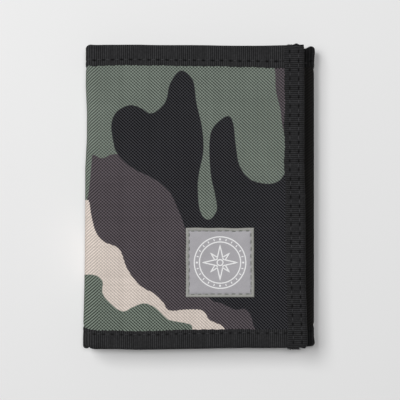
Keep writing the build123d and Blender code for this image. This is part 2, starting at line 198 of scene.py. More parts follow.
cloth = FoldedLine(
    [
        (flap_end_x, front_z),
        (left_x, front_z),
        (left_x, back_z),
        (right_x, back_z),
        (right_x, inner_z),
        (inner_end_x, inner_z),
    ],
    [0, LEFT_RADIUS, LEFT_RADIUS, RIGHT_RADIUS, RIGHT_RADIUS, 0],
)
FRONT, LEFT, BACK, RIGHT, INNER = range(5)
LEG_NAMES = ("front_flap", "left_fold", "back", "right_fold", "inner_flap")
front_corner_x = cloth.legs[FRONT][2][0]


def s_front(x):
    return cloth.on_leg(FRONT, x=x)


# How far the left fold stands out, from the bottom edge to the top edge, and the right fold,
# which is held in where it is taped and stands out again at its two ends.
FOLD_PLACES = np.array([-63, -58, -54.5, -52, -40, -25, 0, 12, 24, 35, 46, 52, 54, 60]) * MM
LEFT_BULGES = [1.2, 1.25, 1.15, 1.55, 1.2, 0.95, 0.8, 0.78, 0.12, 0.08, 0.55, 0.5, 0.15, 0.05]
LEFT_BULGES = np.array(LEFT_BULGES) * MM
RIGHT_BULGE = 1.4 * MM
FOLD_EASE = 3.5 * MM


def fold_bulge(s, y):
    """The uneven set of the two folds, shared by every layer that goes round them."""
    left_start, left_end = cloth.legs[LEFT][:2]
    right_start, right_end = cloth.legs[RIGHT][:2]
    at_left = plateau(s, left_start - FOLD_EASE, left_start, left_end, left_end + FOLD_EASE)
    at_right = plateau(s, right_start - FOLD_EASE, right_start, right_end, right_end + FOLD_EASE)
    right = RIGHT_BULGE - 0.35 * MM * smooth(y, 52 * MM, 54 * MM)
    right = right - 0.45 * MM * smooth(-y, 52 * MM, 54 * MM)
    right = right + 0.35 * MM * smooth(-y, 58 * MM, 61 * MM) + 0.3 * MM * smooth(y, 57 * MM, 61 * MM)
    return at_left * np.interp(y, FOLD_PLACES, LEFT_BULGES) + at_right * right


# ------------------------------------------------------------------ edges of the cloth
LONG_LEG = 12 * MM


def along_cloth(values):
    """A function of s that takes one value on each of the five legs."""
    places, heights = [], []
    for (start, end, _, _), value in zip(cloth.legs, values):
        ends = [start, end] if end - start > LONG_LEG else [(start + end) / 2]
        places += ends
        heights += [value] * len(ends)
    return lambda s: np.interp(s, places, heights)


def end_of_legs(part, side):
    """Where one part of each leg ends along y: 0 for its lower end, 1 for its upper."""
    return along_cloth([span(f"{leg}_{part}", 1)[side] for leg in LEG_NAMES])


plain_top = end_of_legs("top_binding", 1)
plain_bottom = end_of_legs("bottom_binding", 0)
plain_liner_top = end_of_legs("liner", 1)
liner_gap = along_cloth(
    [
        front_z - middle("front_flap_liner", 2),
        middle("left_fold_liner", 0) - left_x,
        middle("back_liner", 2) - back_z,
        right_x - middle("right_fold_liner", 0),
        inner_z - middle("inner_flap_liner", 2),
    ]
)

# How the tapes along the front flap stray from straight, and how much wider or narrower they
# show, from the left fold to the end tape.
STRAY_PLACES = np.array([-46, -42, -34, -24, -14, 0, 8, 20, 32]) * MM
TOP_STRAY = np.array([0, 0, 0, 0.27, 0.18, -0.1, -0.15, 0.08, 0.05]) * MM
TOP_SPREAD = np.array([1.0, 0.75, 0.42, 0.25, 0.3, 0.35, 0.4, 0.6, 1.35]) * MM
BOTTOM_STRAY = np.array([-0.3, -0.3, -0.2, -0.48, -0.4, -0.2, 0.1, 0.36, 0.15]) * MM
BOTTOM_SPREAD = np.array([-0.1, -0.15, -0.25, -0.55, -0.2, -0.3, -0.25, -0.3, -0.3]) * MM


def on_front(s, values):
    """Values set along the front flap, fading out round the left fold."""
    start, end = cloth.arcs[0]
    return np.interp(front_corner_x - s, STRAY_PLACES, values) * (1 - smooth(s, start, end))


def top_edge(s):
    """The outer edge of the tape along the top, which keeps its height round the folds."""
    left_corner, right_corner = cloth.arcs[0][0] + 2.2 * MM, cloth.arcs[3][0] + 1.5 * MM
    corners = 0.45 * MM * bump(s, left_corner, 1.6 * MM) + 0.8 * MM * bump(s, right_corner, 1.15 * MM)
    corners = corners - 0.35 * MM * smooth(s, cloth.arcs[3][0], cloth.arcs[3][1])
    return plain_top(s) + 0.16 * MM * undulation(s, 0, 24 * MM, 11) + on_front(s, TOP_STRAY) + corners


def bottom_notch(s):
    """How far the outer edge of the bottom tape is drawn in and let out round the left fold."""
    start, end = cloth.arcs[0]
    drawn_in = 0.85 * MM * bump(s, start + 2.75 * MM, 0.55 * MM)
    return drawn_in - 0.65 * MM * bump(s, end + 0.2 * MM, 1.0 * MM)


def bottom_edge(s):
    """The outer edge of the tape along the bottom, notched where it turns the left fold."""
    wave = 0.16 * MM * undulation(s, 0, 22 * MM, 12)
    return plain_bottom(s) + wave + on_front(s, BOTTOM_STRAY) + bottom_notch(s)


def top_spread(s):
    return on_front(s, TOP_SPREAD)


def bottom_spread(s):
    """How much wider the bottom tape shows, so that its inner edge runs on past the notch."""
    return on_front(s, BOTTOM_SPREAD) - bottom_notch(s)


SHELL = thickness_of("front_flap_shell")
LINER = thickness_of("front_flap_liner")
TAPE = span("front_flap_top_binding", 2)[1] - span("front_flap_shell", 2)[1]
TAPE_WIDTH = thickness_of("front_flap_top_binding", 1)
NARROW_WIDTH = thickness_of("front_flap_liner_binding", 1)
NARROW_TAPE = (thickness_of("front_flap_liner_binding") - LINER) / 2
END_TAPE_START = s_front(span("front_flap_end_binding", 0)[0])
INNER_TAPE_START = cloth.on_leg(INNER, x=span("inner_flap_end_binding", 0)[1])
TAPE_LEG = (SHELL + TAPE) / 2


def panel_lift(s, y):
    """How far the printed cloth stands off flat between its taped edges."""
    front_end, (back_start, back_end) = cloth.legs[FRONT][1], cloth.legs[BACK][:2]
    free = plateau(s, END_TAPE_START - 1 * MM, END_TAPE_START + 14 * MM, front_end - 6 * MM, front_end)
    back = plateau(s, back_start, back_start + 6 * MM, back_end - 12 * MM, back_end - 4 * MM)
    inside = smooth(plain_top(s) - y, 8 * MM, 18 * MM) * smooth(y - plain_bottom(s), 8 * MM, 18 * MM)
    wave = 0.24 * MM * undulation(s, y, 42 * MM, 3) - 0.16 * MM
    sunk = 0.1 * MM + 0.08 * MM * undulation(s, y, 30 * MM, 4)
    return inside * (free * (wave + 0.3 * MM) - back * sunk)


# ------------------------------------------------------------------ meshes
def mesh_piece(name, points, faces, uv=None, material=None, sharp=50):
    """A smooth-shaded mesh object with an optional map of cloth coordinates."""
    data = bpy.data.meshes.new(name)
    data.from_pydata(np.asarray(points).reshape(-1, 3).tolist(), [], faces)
    data.validate()
    work = bmesh.new()
    work.from_mesh(data)
    bmesh.ops.recalc_face_normals(work, faces=work.faces)
    work.to_mesh(data)
    work.free()
    data.polygons.foreach_set("use_smooth", [True] * len(data.polygons))
    data.set_sharp_from_angle(angle=math.radians(sharp))
    if uv is not None:
        corner_points = np.empty(len(data.loops), dtype=int)
        data.loops.foreach_get("vertex_index", corner_points)
        layer = data.uv_layers.new(name="cloth")
        layer.data.foreach_set("uv", np.asarray(uv).reshape(-1, 2)[corner_points].ravel())
    piece = bpy.data.objects.new(name, data)
    bpy.context.scene.collection.objects.link(piece)
    if material:
        data.materials.append(material)
    return piece


def paint(piece, name, values):
    """A value at each point, for the material to read."""
    attribute = piece.data.attributes.new(name, "FLOAT", "POINT")
    attribute.data.foreach_set("value", np.asarray(values, dtype=np.float32).ravel())


def doubled(grid):
    """The same values for the outer and the inner face of a sheet."""
    return np.concatenate([grid, grid])


def between(outer, inner, closed=False):
    """Faces of a closed solid between two grids of points, and its points in order.

    A closed grid's last column joins its first, as in a ring.
    """
    rows, columns = outer.shape[:2]
    index = np.arange(rows * columns).reshape(rows, columns)
    if closed:
        index = np.concatenate([index, index[:, :1]], axis=1)
    under = index + rows * columns
    quads = [
        np.stack([index[:-1, :-1], index[1:, :-1], index[1:, 1:], index[:-1, 1:]], -1),
        np.stack([under[:-1, :-1], under[:-1, 1:], under[1:, 1:], under[1:, :-1]], -1),
    ]
    rims = [(index[0], under[0]), (index[-1, ::-1], under[-1, ::-1])]
    if not closed:
        rims += [(index[:, -1], under[:, -1]), (index[::-1, 0], under[::-1, 0])]
    for top, low in rims:
        quads.append(np.stack([top[:-1], top[1:], low[1:], low[:-1]], -1))
    faces = np.concatenate([quad.reshape(-1, 4) for quad in quads])
    return np.concatenate([outer.reshape(-1, 3), inner.reshape(-1, 3)]), faces.tolist()


def cloth_piece(name, s, y, n, half, material, uv=None):
    """A sheet of cloth from a grid of its middle surface, `half` its thickness each side."""
    s, y, n, half = np.broadcast_arrays(s, y, n, half)
    points, faces = between(cloth.place(s, y, n + half), cloth.place(s, y, n - half))
    grid_uv = np.stack(uv if uv else [front_corner_x - s, y], -1)
    return mesh_piece(name, points, faces, doubled(grid_uv), material)


def rounded_rim(distance, half):
    """Half the thickness near an edge, `distance` from it."""
    return half * (0.35 + 0.65 * np.clip(distance / (1.2 * half), 0, 1))


def columns_between(low, high, step, half):
    """Places across a sheet, with one more close to each edge for its rounded rim."""
    count = max(2, round((high - low) / step))
    inner = np.linspace(low + 1.2 * half, high - 1.2 * half, count)
    return np.concatenate([[low], inner, [high]])


def to_nearest(value, ends):
    """How far a value is inside the nearer of two ends."""
    return np.minimum(value - ends[0], ends[1] - value)


def flat_sheet(name, s_span, y_span, n_of, half, material, step=1.0 * MM):
    """A sheet that lies along the cloth, with its edges rounded; n_of(s, y) is its height."""
    s = columns_between(*s_span, step, half)[:, None]
    y = columns_between(*y_span, step, half)[None, :]
    rim = np.minimum(to_nearest(s, s_span), to_nearest(y, y_span))
    s, y = np.broadcast_arrays(s, y)
    return cloth_piece(name, s, y, n_of(s, y), rounded_rim(rim, half), material)


def fold_section(width, high, low, thick, step=0.55 * MM, nose=1.1 * MM):
    """The section of a tape folded over an edge.

    Returns the distance in from the edge and the height of its outer and inner face, and how
    far each point is across the tape. `high` and `low` are the heights of its two legs.
    """
    tall, centre = (high - low) / 2, (high + low) / 2
    reach = min(tall, nose)
    leg = max(3, round((width - reach) / step))
    legs = np.linspace(width - thick / 2, reach, leg + 1)[:-1]
    turn = np.linspace(math.pi / 2, -math.pi / 2, 9)
    distance = np.concatenate([legs, reach - reach * np.cos(turn), legs[::-1]])
    height = np.concatenate([np.full(leg, high), centre + tall * np.sin(turn), np.full(leg, low)])
    normal_d = np.concatenate([np.zeros(leg), -np.cos(turn) / reach, np.zeros(leg)])
    normal_n = np.concatenate([np.ones(leg), np.sin(turn) / tall, -np.ones(leg)])
    size = np.hypot(normal_d, normal_n)
    normal_d, normal_n = normal_d / size, normal_n / size
    across = np.concatenate([[0], np.cumsum(np.hypot(np.diff(distance), np.diff(height)))])
    half = rounded_rim(np.minimum(across, across[-1] - across), thick / 2)
    distance = distance + thick / 2
    outer = (distance + half * normal_d, height + half * normal_n)
    inner = (distance - half * normal_d, height - half * normal_n)
    return outer, inner, across


# ------------------------------------------------------------------ bodies along the cloth
def corner_points(corner, toward_a, toward_b, reach):
    """Where a bend starts and ends on the two sides of a corner of the cloth."""
    start = (corner[0] + reach * toward_a[0], 0, corner[1] + reach * toward_a[1])
    end = (corner[0] + reach * toward_b[0], 0, corner[1] + reach * toward_b[1])
    return start, end


LEFT_REACH = 4.2 * MM
RIGHT_REACH = 3.4 * MM
BENDS = {
    "front": ("front_flap", "left_fold", *corner_points((left_x, front_z), (1, 0), (0, -1), LEFT_REACH)),
    "left": ("left_fold", "back", *corner_points((left_x, back_z), (0, 1), (1, 0), LEFT_REACH)),
    "right": ("back", "right_fold", *corner_points((right_x, back_z), (-1, 0), (0, 1), RIGHT_REACH)),
    "inner": ("right_fold", "inner_flap", *corner_points((right_x, inner_z), (0, -1), (-1, 0), RIGHT_REACH)),
}
# The stretches meet at the middle of the left fold, of the back and of the right fold.
CUTS = [
    -1.0,
    cloth.on_leg(LEFT, z=(front_z + back_z) / 2),
    cloth.on_leg(BACK, x=0),
    cloth.on_leg(RIGHT, z=(back_z + inner_z) / 2),
    2.0,
]
# The bodies whose nodes each stretch of cloth stands for.
STANDS_FOR = {
    "front": ("front_flap", "left_fold"),
    "left": ("back",),
    "right": ("right_fold",),
    "inner": ("inner_flap",),
}


def stretches(start, end):
    """The parts of a stretch of cloth that each bend between two bodies."""
    for (stretch, bend), low, high in zip(BENDS.items(), CUTS, CUTS[1:]):
        low, high = max(low, start), min(high, end)
        if high > low + 0.5 * MM:
            yield stretch, low, high, bend


def nodes_of(stretch, part):
    """The nodes of one part of the wallet that lie along a stretch."""
    names = [f"{leg}_{part}" for leg in STANDS_FOR.get(stretch, ())]
    return [name for name in names if name in bpy.data.objects]


# ------------------------------------------------------------------ materials
def linear(*channels):
    """A colour seen on a screen, 0 to 255, as the shader's own numbers."""
    parts = [c / 255 for c in channels]
    return (*[p / 12.92 if p <= 0.04045 else ((p + 0.055) / 1.055) ** 2.4 for p in parts], 1.0)


class Shader:
    """Builds one node material around a Principled surface."""

    def __init__(self, name, roughness=0.8, specular=0.3, sheen=0.0, metallic=0.0):
        self.material = bpy.data.materials.new(name)
        self.material.use_nodes = True
        self.nodes = self.material.node_tree.nodes
        self.links = self.material.node_tree.links
        self.surface = self.nodes["Principled BSDF"]
        self.surface.inputs["Roughness"].default_value = roughness
        self.surface.inputs["Specular IOR Level"].default_value = specular
        self.surface.inputs["Sheen Weight"].default_value = sheen
        self.surface.inputs["Sheen Roughness"].default_value = 0.45
        self.surface.inputs["Metallic"].default_value = metallic

    def put(self, value, socket):
        if isinstance(value, bpy.types.NodeSocket):
            self.links.new(value, socket)
        else:
            socket.default_value = value

    def math(self, operation, a, b=0.0, c=0.0, clamp=False):
        node = self.nodes.new("ShaderNodeMath")
        node.operation = operation
        node.use_clamp = clamp
        for value, socket in zip((a, b, c), node.inputs):
            self.put(value, socket)
        return node.outputs[0]

    def times(self, a, b):
        return self.math("MULTIPLY", a, b)

    def plus(self, a, b):
        return self.math("ADD", a, b)

    def ramp(self, value, low, high, to_low=0.0, to_high=1.0):
        node = self.nodes.new("ShaderNodeMapRange")
        node.interpolation_type = "SMOOTHSTEP"
        for number, part in enumerate((value, low, high, to_low, to_high)):
            self.put(part, node.inputs[number])
        return node.outputs[0]

    def mix(self, factor, a, b, blend="MIX"):
        node = self.nodes.new("ShaderNodeMix")
        node.data_type = "RGBA"
        node.blend_type = blend
        self.put(factor, node.inputs[0])
        self.put(a, node.inputs[6])
        self.put(b, node.inputs[7])
        return node.outputs[2]

    def scaled(self, colour, factor):
        """A colour times a number."""
        node = self.nodes.new("ShaderNodeVectorMath")
        node.operation = "SCALE"
        self.put(colour[:3] if isinstance(colour, tuple) else colour, node.inputs[0])
        self.put(factor, node.inputs["Scale"])
        return node.outputs[0]

    def attribute(self, name):
        node = self.nodes.new("ShaderNodeAttribute")
        node.attribute_name = name
        return node.outputs["Fac"]

    def cloth_place(self):
        """Places along and across the cloth, in metres."""
        node = self.nodes.new("ShaderNodeUVMap")
        node.uv_map = "cloth"
        split = self.nodes.new("ShaderNodeSeparateXYZ")
        self.links.new(node.outputs[0], split.inputs[0])
        return split.outputs[0], split.outputs[1]

    def object_place(self):
        return self.nodes.new("ShaderNodeTexCoord").outputs["Object"]

    def vector(self, x, y, z=0.0):
        node = self.nodes.new("ShaderNodeCombineXYZ")
        for value, socket in zip((x, y, z), node.inputs):
            self.put(value, socket)
        return node.outputs[0]

    def noise(self, place, scale, detail=3.0, roughness=0.55):
        node = self.nodes.new("ShaderNodeTexNoise")
        values = {"Vector": place, "Scale": scale, "Detail": detail, "Roughness": roughness}
        for socket, value in values.items():
            self.put(value, node.inputs[socket])
        return node.outputs[0]

    def mottle(self, place, scale, detail, low, high):
        """A number that drifts between low and high over the cloth."""
        return self.ramp(self.noise(place, scale, detail), 0.3, 0.7, low, high)

    def speckle(self, x, y):
        """A random value for each whole pair of numbers."""
        node = self.nodes.new("ShaderNodeTexWhiteNoise")
        node.noise_dimensions = "2D"
        self.put(self.vector(self.math("FLOOR", x), self.math("FLOOR", y)), node.inputs["Vector"])
        return node.outputs["Value"]

    def wave(self, phase):
        """A sine of so many turns."""
        return self.math("SINE", self.times(phase, TURN))

    def crown(self, phase):
        """The round back of a thread, once for each whole number."""
        return self.math("ABSOLUTE", self.math("SINE", self.times(phase, math.pi)))

    def finish(self, colour, height=None, depth=0.1 * MM, strength=1.0, roughness=None):
        self.put(colour, self.surface.inputs["Base Color"])
        if roughness is not None:
            self.put(roughness, self.surface.inputs["Roughness"])
        if height is not None:
            node = self.nodes.new("ShaderNodeBump")
            node.inputs["Strength"].default_value = strength
            node.inputs["Distance"].default_value = depth
            self.links.new(height, node.inputs["Height"])
            self.links.new(node.outputs[0], self.surface.inputs["Normal"])
        return self.material


WARP_PITCH = 0.347 * MM
WEFT_PITCH = 0.322 * MM
EASED_FROM = -43.5 * MM
EASED_MIDDLE = -40 * MM
EASED_TO = -28 * MM


def twill(shader):
    """A 2/2 twill whose ridges lean to the left.

    Returns how light each thread is, from -1 to 1, which is painted shade in the furrows and painted
    highlight on the ridges; its unevenness, which also holds painted shade low between the threads; its
    height and its place.
    Near the left fold the cloth is eased, and its crossings show more than its ridges.
    """
    along, across = shader.cloth_place()
    warp = shader.math("DIVIDE", along, WARP_PITCH)
    weft = shader.math("DIVIDE", across, WEFT_PITCH)
    ridge = shader.wave(shader.times(shader.plus(warp, weft), 0.25))
    crossing = shader.wave(shader.times(shader.math("SUBTRACT", warp, weft), 0.25))
    over = shader.ramp(ridge, -0.55, 0.55)
    warp_height = shader.times(shader.crown(warp), over)
    weft_height = shader.times(shader.crown(weft), shader.math("SUBTRACT", 0.8, over))
    height = shader.math("MAXIMUM", warp_height, weft_height)
    uneven = shader.plus(shader.speckle(warp, 0.0), shader.speckle(0.0, weft))
    uneven = shader.ramp(uneven, 0.0, 2.0, 0.93, 1.07)
    place = shader.vector(along, across)
    eased = shader.ramp(along, EASED_FROM, EASED_MIDDLE, 0.42, 0.0)
    eased = shader.plus(eased, shader.ramp(along, EASED_MIDDLE, EASED_TO, 0.46, 0.0))
    eased = shader.math("MAXIMUM", eased, shader.ramp(across, 43 * MM, 53 * MM, 0.0, 0.5))
    loose = shader.ramp(shader.noise(place, 230.0, 1.0), 0.42, 0.68, 0.24, 0.48)
    share = shader.math("MAXIMUM", eased, loose)
    # Painted shade in the furrows and painted highlight on the ridges.
    tone = shader.plus(
        shader.times(ridge, shader.math("SUBTRACT", 1.0, share)), shader.times(crossing, share)
    )
    tone = shader.ramp(tone, -0.75, 0.75, -1.0, 1.0)
    # Painted shade low between the threads.
    thread = shader.ramp(height, 0.0, 1.0, 0.86, 1.06)
    return tone, shader.times(thread, uneven), height, place


def lit(shader, colour, contrast, tone, uneven):
    """A thread colour with painted shade in the furrows of the twill and painted highlight on its ridges."""
    light = shader.plus(shader.times(tone, contrast), 1.0)
    return shader.scaled(colour, shader.times(light, uneven))


# Each print colour, and how strong the twill's painted highlight and shade are on it.
GREEN = (linear(107, 115, 107), 0.66)
MAUVE = (linear(79, 73, 77), 0.72)
BEIGE = (linear(213, 201, 192), 0.25)
LEAF = (linear(104, 113, 104), 0.8)
BLACK = (linear(44, 44, 47), 1.0)
BACKING = (linear(46, 46, 47), 0.3)


def camo_nylon(name):
    """Printed nylon twill in four colours; each colour's outline is painted on the mesh."""
    shader = Shader(name, roughness=0.75, specular=0.05)
    tone, uneven, height, place = twill(shader)
    bleed = shader.times(shader.math("SUBTRACT", shader.noise(place, 2600.0, 1.0), 0.5), 0.35 * MM)
    bleed = shader.plus(bleed, shader.times(tone, 0.09 * MM))
    colour = lit(shader, *GREEN, tone, uneven)
    prints = (("mauve", MAUVE), ("beige", BEIGE), ("leaf", LEAF), ("black", BLACK))
    for outline, (print_colour, contrast) in prints:
        inside = shader.ramp(shader.plus(shader.attribute(outline), bleed), -0.12 * MM, 0.12 * MM)
        colour = shader.mix(inside, colour, lit(shader, print_colour, contrast, tone, uneven))
    back = shader.ramp(shader.attribute("backing"), 0.3, 0.7)
    colour = shader.mix(back, colour, lit(shader, *BACKING, tone, uneven))
    fade = shader.mottle(place, 45.0, 4.0, 0.95, 1.05)
    return shader.finish(shader.scaled(colour, fade), height, 0.11 * MM, 0.6)


def black_nylon(name):
    shader = Shader(name, roughness=0.75, specular=0.06)
    tone, uneven, height, place = twill(shader)
    fade = shader.mottle(place, 60.0, 4.0, 0.92, 1.08)
    colour = shader.scaled(lit(shader, linear(33, 32, 31), 0.35, tone, uneven), fade)
    return shader.finish(colour, height, 0.11 * MM, 0.6)


def ribbed(name, colour, pitch, depth, inside=1.0):
    """Grosgrain: round ribs across the tape, bound by fine threads along it.

    `inside` is how much darker it is past the back's right edge: painted shade, for there the tape runs round
    the right fold in the front flap's shadow.
    """
    shader = Shader(name, roughness=0.75, specular=0.12)
    along, across = shader.cloth_place()
    place = shader.vector(along, across)
    wander = shader.times(shader.math("SUBTRACT", shader.noise(place, 120.0, 1.0), 0.5), 0.3)
    rib_number = shader.plus(shader.math("DIVIDE", along, pitch), wander)
    rib = shader.crown(rib_number)
    fine = shader.crown(shader.math("DIVIDE", across, pitch * 0.42))
    height = shader.plus(rib, shader.times(fine, 0.25))
    # Painted shade in the grooves between the ribs and painted highlight on their crowns.
    light = shader.ramp(height, 0.2, 1.15, 0.2, 1.75)
    threads = shader.ramp(shader.speckle(rib_number, 0.0), 0.0, 1.0, 0.9, 1.1)
    fade = shader.mottle(place, 90.0, 4.0, 0.88, 1.14)
    fade = shader.times(fade, shader.mottle(place, 1100.0, 2.0, 0.82, 1.18))
    # Painted shade in the dimples and needle holes where the stitches pull the tape in.
    stitch_shade = shader.ramp(shader.attribute("pinch"), 0.2, 0.8, 1.0, 0.06)
    light = shader.times(shader.times(light, threads), shader.times(fade, stitch_shade))
    # Painted shade: past the back's right edge the tape is darkened as if in the front flap's shadow.
    back_end = cloth.legs[BACK][1]
    light = shader.times(light, shader.ramp(along, back_end - 40 * MM, back_end, 1.0, inside))
    return shader.finish(shader.scaled(colour, light), height, depth, 0.8)


def plain_weave(name, colour, pitch, dark, bright, roughness=0.6):
    """A plain weave, for linings, pockets and tapes."""
    shader = Shader(name, roughness=roughness)
    along, across = shader.cloth_place()
    place = shader.vector(along, across)
    warp = shader.math("DIVIDE", along, pitch)
    weft = shader.math("DIVIDE", across, pitch)
    check = shader.times(shader.wave(shader.times(warp, 0.5)), shader.wave(shader.times(weft, 0.5)))
    thread = shader.math("MAXIMUM", shader.crown(warp), shader.crown(weft))
    height = shader.plus(shader.times(thread, 0.6), shader.times(check, 0.4))
    fade = shader.mottle(place, 70.0, 5.0, 0.9, 1.1)
    # Painted shade in the dimples and needle holes where stitches pull the cloth in.
    stitch_shade = shader.ramp(shader.attribute("pinch"), 0.1, 1.0, 1.0, 0.45)
    # Painted shade between the threads and painted highlight on their crowns.
    light = shader.times(shader.ramp(height, 0.0, 1.0, dark, bright), shader.times(fade, stitch_shade))
    return shader.finish(shader.scaled(colour, light), height, pitch * 0.3, 0.6)


def label_cloth(name):
    """Smooth coated cloth, greyer and greener outside its stitching."""
    shader = Shader(name, roughness=0.42, specular=0.3, sheen=0.05)
    along, across = shader.cloth_place()
    place = shader.vector(along, across)
    border = shader.ramp(shader.attribute("border"), 0.2, 0.8)
    grain = shader.noise(place, 3200.0, 2.0)
    mottle = shader.noise(place, 220.0, 4.0)
    colour = shader.mix(border, linear(157, 155, 159), linear(145, 145, 140))
    light = shader.times(
        shader.ramp(grain, 0.3, 0.7, 0.93, 1.06), shader.ramp(mottle, 0.3, 0.7, 0.96, 1.04)
    )
    # Painted shade in the dimples and needle holes where the stitches pull the label in.
    stitch_shade = shader.ramp(shader.attribute("pinch"), 0.1, 1.0, 1.0, 0.6)
    return shader.finish(shader.scaled(colour, shader.times(light, stitch_shade)), grain, 0.03 * MM, 0.5)


def grained(name, colour, roughness, specular, sheen, grain, light, depth, strength):
    """One colour with a fine grain, for threads, ink, pile and coils.

    `grain` is the noise's scale and detail, and `light` the part of it that counts and how
    dark and how bright it makes the colour.
    """
    shader = Shader(name, roughness, specular, sheen)
    noise = shader.noise(shader.object_place(), *grain)
    return shader.finish(shader.scaled(colour, shader.ramp(noise, *light)), noise, depth, strength)


THREAD_LOOK = (0.55, 0.3, 0.1, (5200.0, 3.0), (0.3, 0.7, 0.7, 1.3), 0.05 * MM, 0.7)
INK_LOOK = (0.5, 0.3, 0.0, (2400.0, 4.0), (0.3, 0.7, 0.93, 1.0), 0.02 * MM, 0.5)
COIL_LOOK = (0.38, 0.45, 0.0, (1800.0, 3.0), (0.3, 0.7, 0.85, 1.15), 0.02 * MM, 0.4)
HOOK_LOOK, LOOP_LOOK = (
    (0.7, 0.25, sheen, (2600.0, 4.0), (0.25, 0.75, 0.6, 1.35), 0.08 * MM, 0.7) for sheen in (0.0, 0.2)
)


def clear_vinyl(name):
    shader = Shader(name, roughness=0.12, specular=0.5)
    shader.surface.inputs["Alpha"].default_value = 0.13
    shader.surface.inputs["Coat Weight"].default_value = 0.5
    shader.surface.inputs["Coat Roughness"].default_value = 0.08
    place = shader.object_place()
    scuffs = shader.noise(place, 900.0, 6.0, 0.7)
    rough = shader.ramp(scuffs, 0.45, 0.8, 0.1, 0.4)
    colour = shader.mix(shader.ramp(scuffs, 0.55, 0.8), linear(214, 222, 226), linear(240, 243, 244))
    return shader.finish(colour, shader.noise(place, 60.0, 2.0), 0.15 * MM, 0.5, rough)


def zip_metal(name):
    """Blackened die-cast metal, worn brighter where it is handled."""
    shader = Shader(name, roughness=0.35, specular=0.5, metallic=0.9)
    place = shader.object_place()
    cast = shader.noise(place, 3500.0, 4.0)
    worn = shader.ramp(shader.noise(place, 420.0, 5.0, 0.65), 0.5, 0.66)
    colour = shader.mix(worn, linear(58, 57, 56), linear(120, 117, 112))
    return shader.finish(colour, cast, 0.03 * MM, 0.5, shader.ramp(cast, 0.3, 0.7, 0.28, 0.5))


def floor_material():
    shader = Shader("studio_floor", roughness=0.85, specular=0.1)
    tone = shader.noise(shader.object_place(), 3.0, 2.0)
    colour = shader.scaled(linear(234, 234, 234), shader.ramp(tone, 0.3, 0.7, 0.995, 1.005))
    return shader.finish(colour)


RIB_PITCH = 0.851 * MM
RIB_DEPTH = 0.16 * MM
MATERIALS = {
    name: make(name, *values)
    for name, make, *values in (
        ("camo_nylon", camo_nylon),
        ("black_nylon", black_nylon),
        # The grosgrain's last number is its painted shade round the right fold, where the front flap casts
        # its shadow.
        ("grosgrain", ribbed, linear(36, 36, 37), RIB_PITCH, RIB_DEPTH, 0.5),
        # A copy of the grosgrain a little darker: painted shade for how the light falls across the end tapes'
        # ribs, which run the other way.
        ("shaded_end_grosgrain", ribbed, linear(33, 33, 34), RIB_PITCH, RIB_DEPTH),
        ("narrow_tape", ribbed, linear(40, 40, 41), 0.55 * MM, 0.1 * MM),
        ("lining", plain_weave, linear(40, 40, 42), 0.3 * MM, 0.8, 1.15, 0.5),
        ("pocket_cloth", plain_weave, linear(44, 44, 46), 0.36 * MM, 0.7, 1.2),
        ("clear_window", clear_vinyl),
        ("label_cloth", label_cloth),
        ("label_ink", grained, linear(232, 232, 232), *INK_LOOK),
        ("label_thread", grained, linear(104, 108, 100), *THREAD_LOOK),
        ("black_thread", grained, linear(44, 44, 46), *THREAD_LOOK),
        ("hook_tape", grained, linear(46, 46, 48), *HOOK_LOOK),
        ("loop_tape", grained, linear(48, 48, 50), *LOOP_LOOK),
        ("zip_tape", plain_weave, linear(38, 38, 40), 0.42 * MM, 0.65, 1.25),
        ("zip_coil", grained, linear(40, 40, 42), *COIL_LOOK),
        ("zip_metal", zip_metal),
    )
}


def put_on(piece, slot, body=None, bend=None, nodes=()):
    """Attach a piece to its body, or bake its place if it lies along a bend, and hide the nodes it replaces.
    `slot` is not used.
    """
    if bend:
        a, b, start, end = bend
        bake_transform(piece)
        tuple(start)
        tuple(end)
    else:
        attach(piece, body)
    if nodes:
        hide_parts(*nodes)
    return piece


# ------------------------------------------------------------------ camouflage
def curve_through(points, each=8):
    """A smooth closed curve through given points (Catmull-Rom)."""
    points = np.array(points, float)
    steps = (1, 0, -1, -2)
    p0, p1, p2, p3 = (np.roll(points, step, 0)[:, None, :] for step in steps)
    t = (np.arange(each) / each)[None, :, None]
    square = 2 * p0 - 5 * p1 + 4 * p2 - p3
    cube = 3 * p1 - p0 - 3 * p2 + p3
    return (0.5 * (2 * p1 + (p2 - p0) * t + square * t**2 + cube * t**3)).reshape(-1, 2)


def depth_inside(curve, x, y):
    """How far each place is inside a closed curve; less than 0 outside it."""
    nearest = np.full(x.shape, np.inf)
    inside = np.zeros(x.shape, bool)
    for (x0, y0), (x1, y1) in zip(curve, np.roll(curve, -1, 0)):
        dx, dy = x1 - x0, y1 - y0
        t = np.clip(((x - x0) * dx + (y - y0) * dy) / (dx * dx + dy * dy + 1e-18), 0, 1)
        nearest = np.minimum(nearest, (x - x0 - t * dx) ** 2 + (y - y0 - t * dy) ** 2)
        if y0 != y1:
            inside ^= ((y0 > y) != (y1 > y)) & (x < x0 + (y - y0) * dx / dy)
    return np.where(inside, 1, -1) * np.sqrt(nearest)


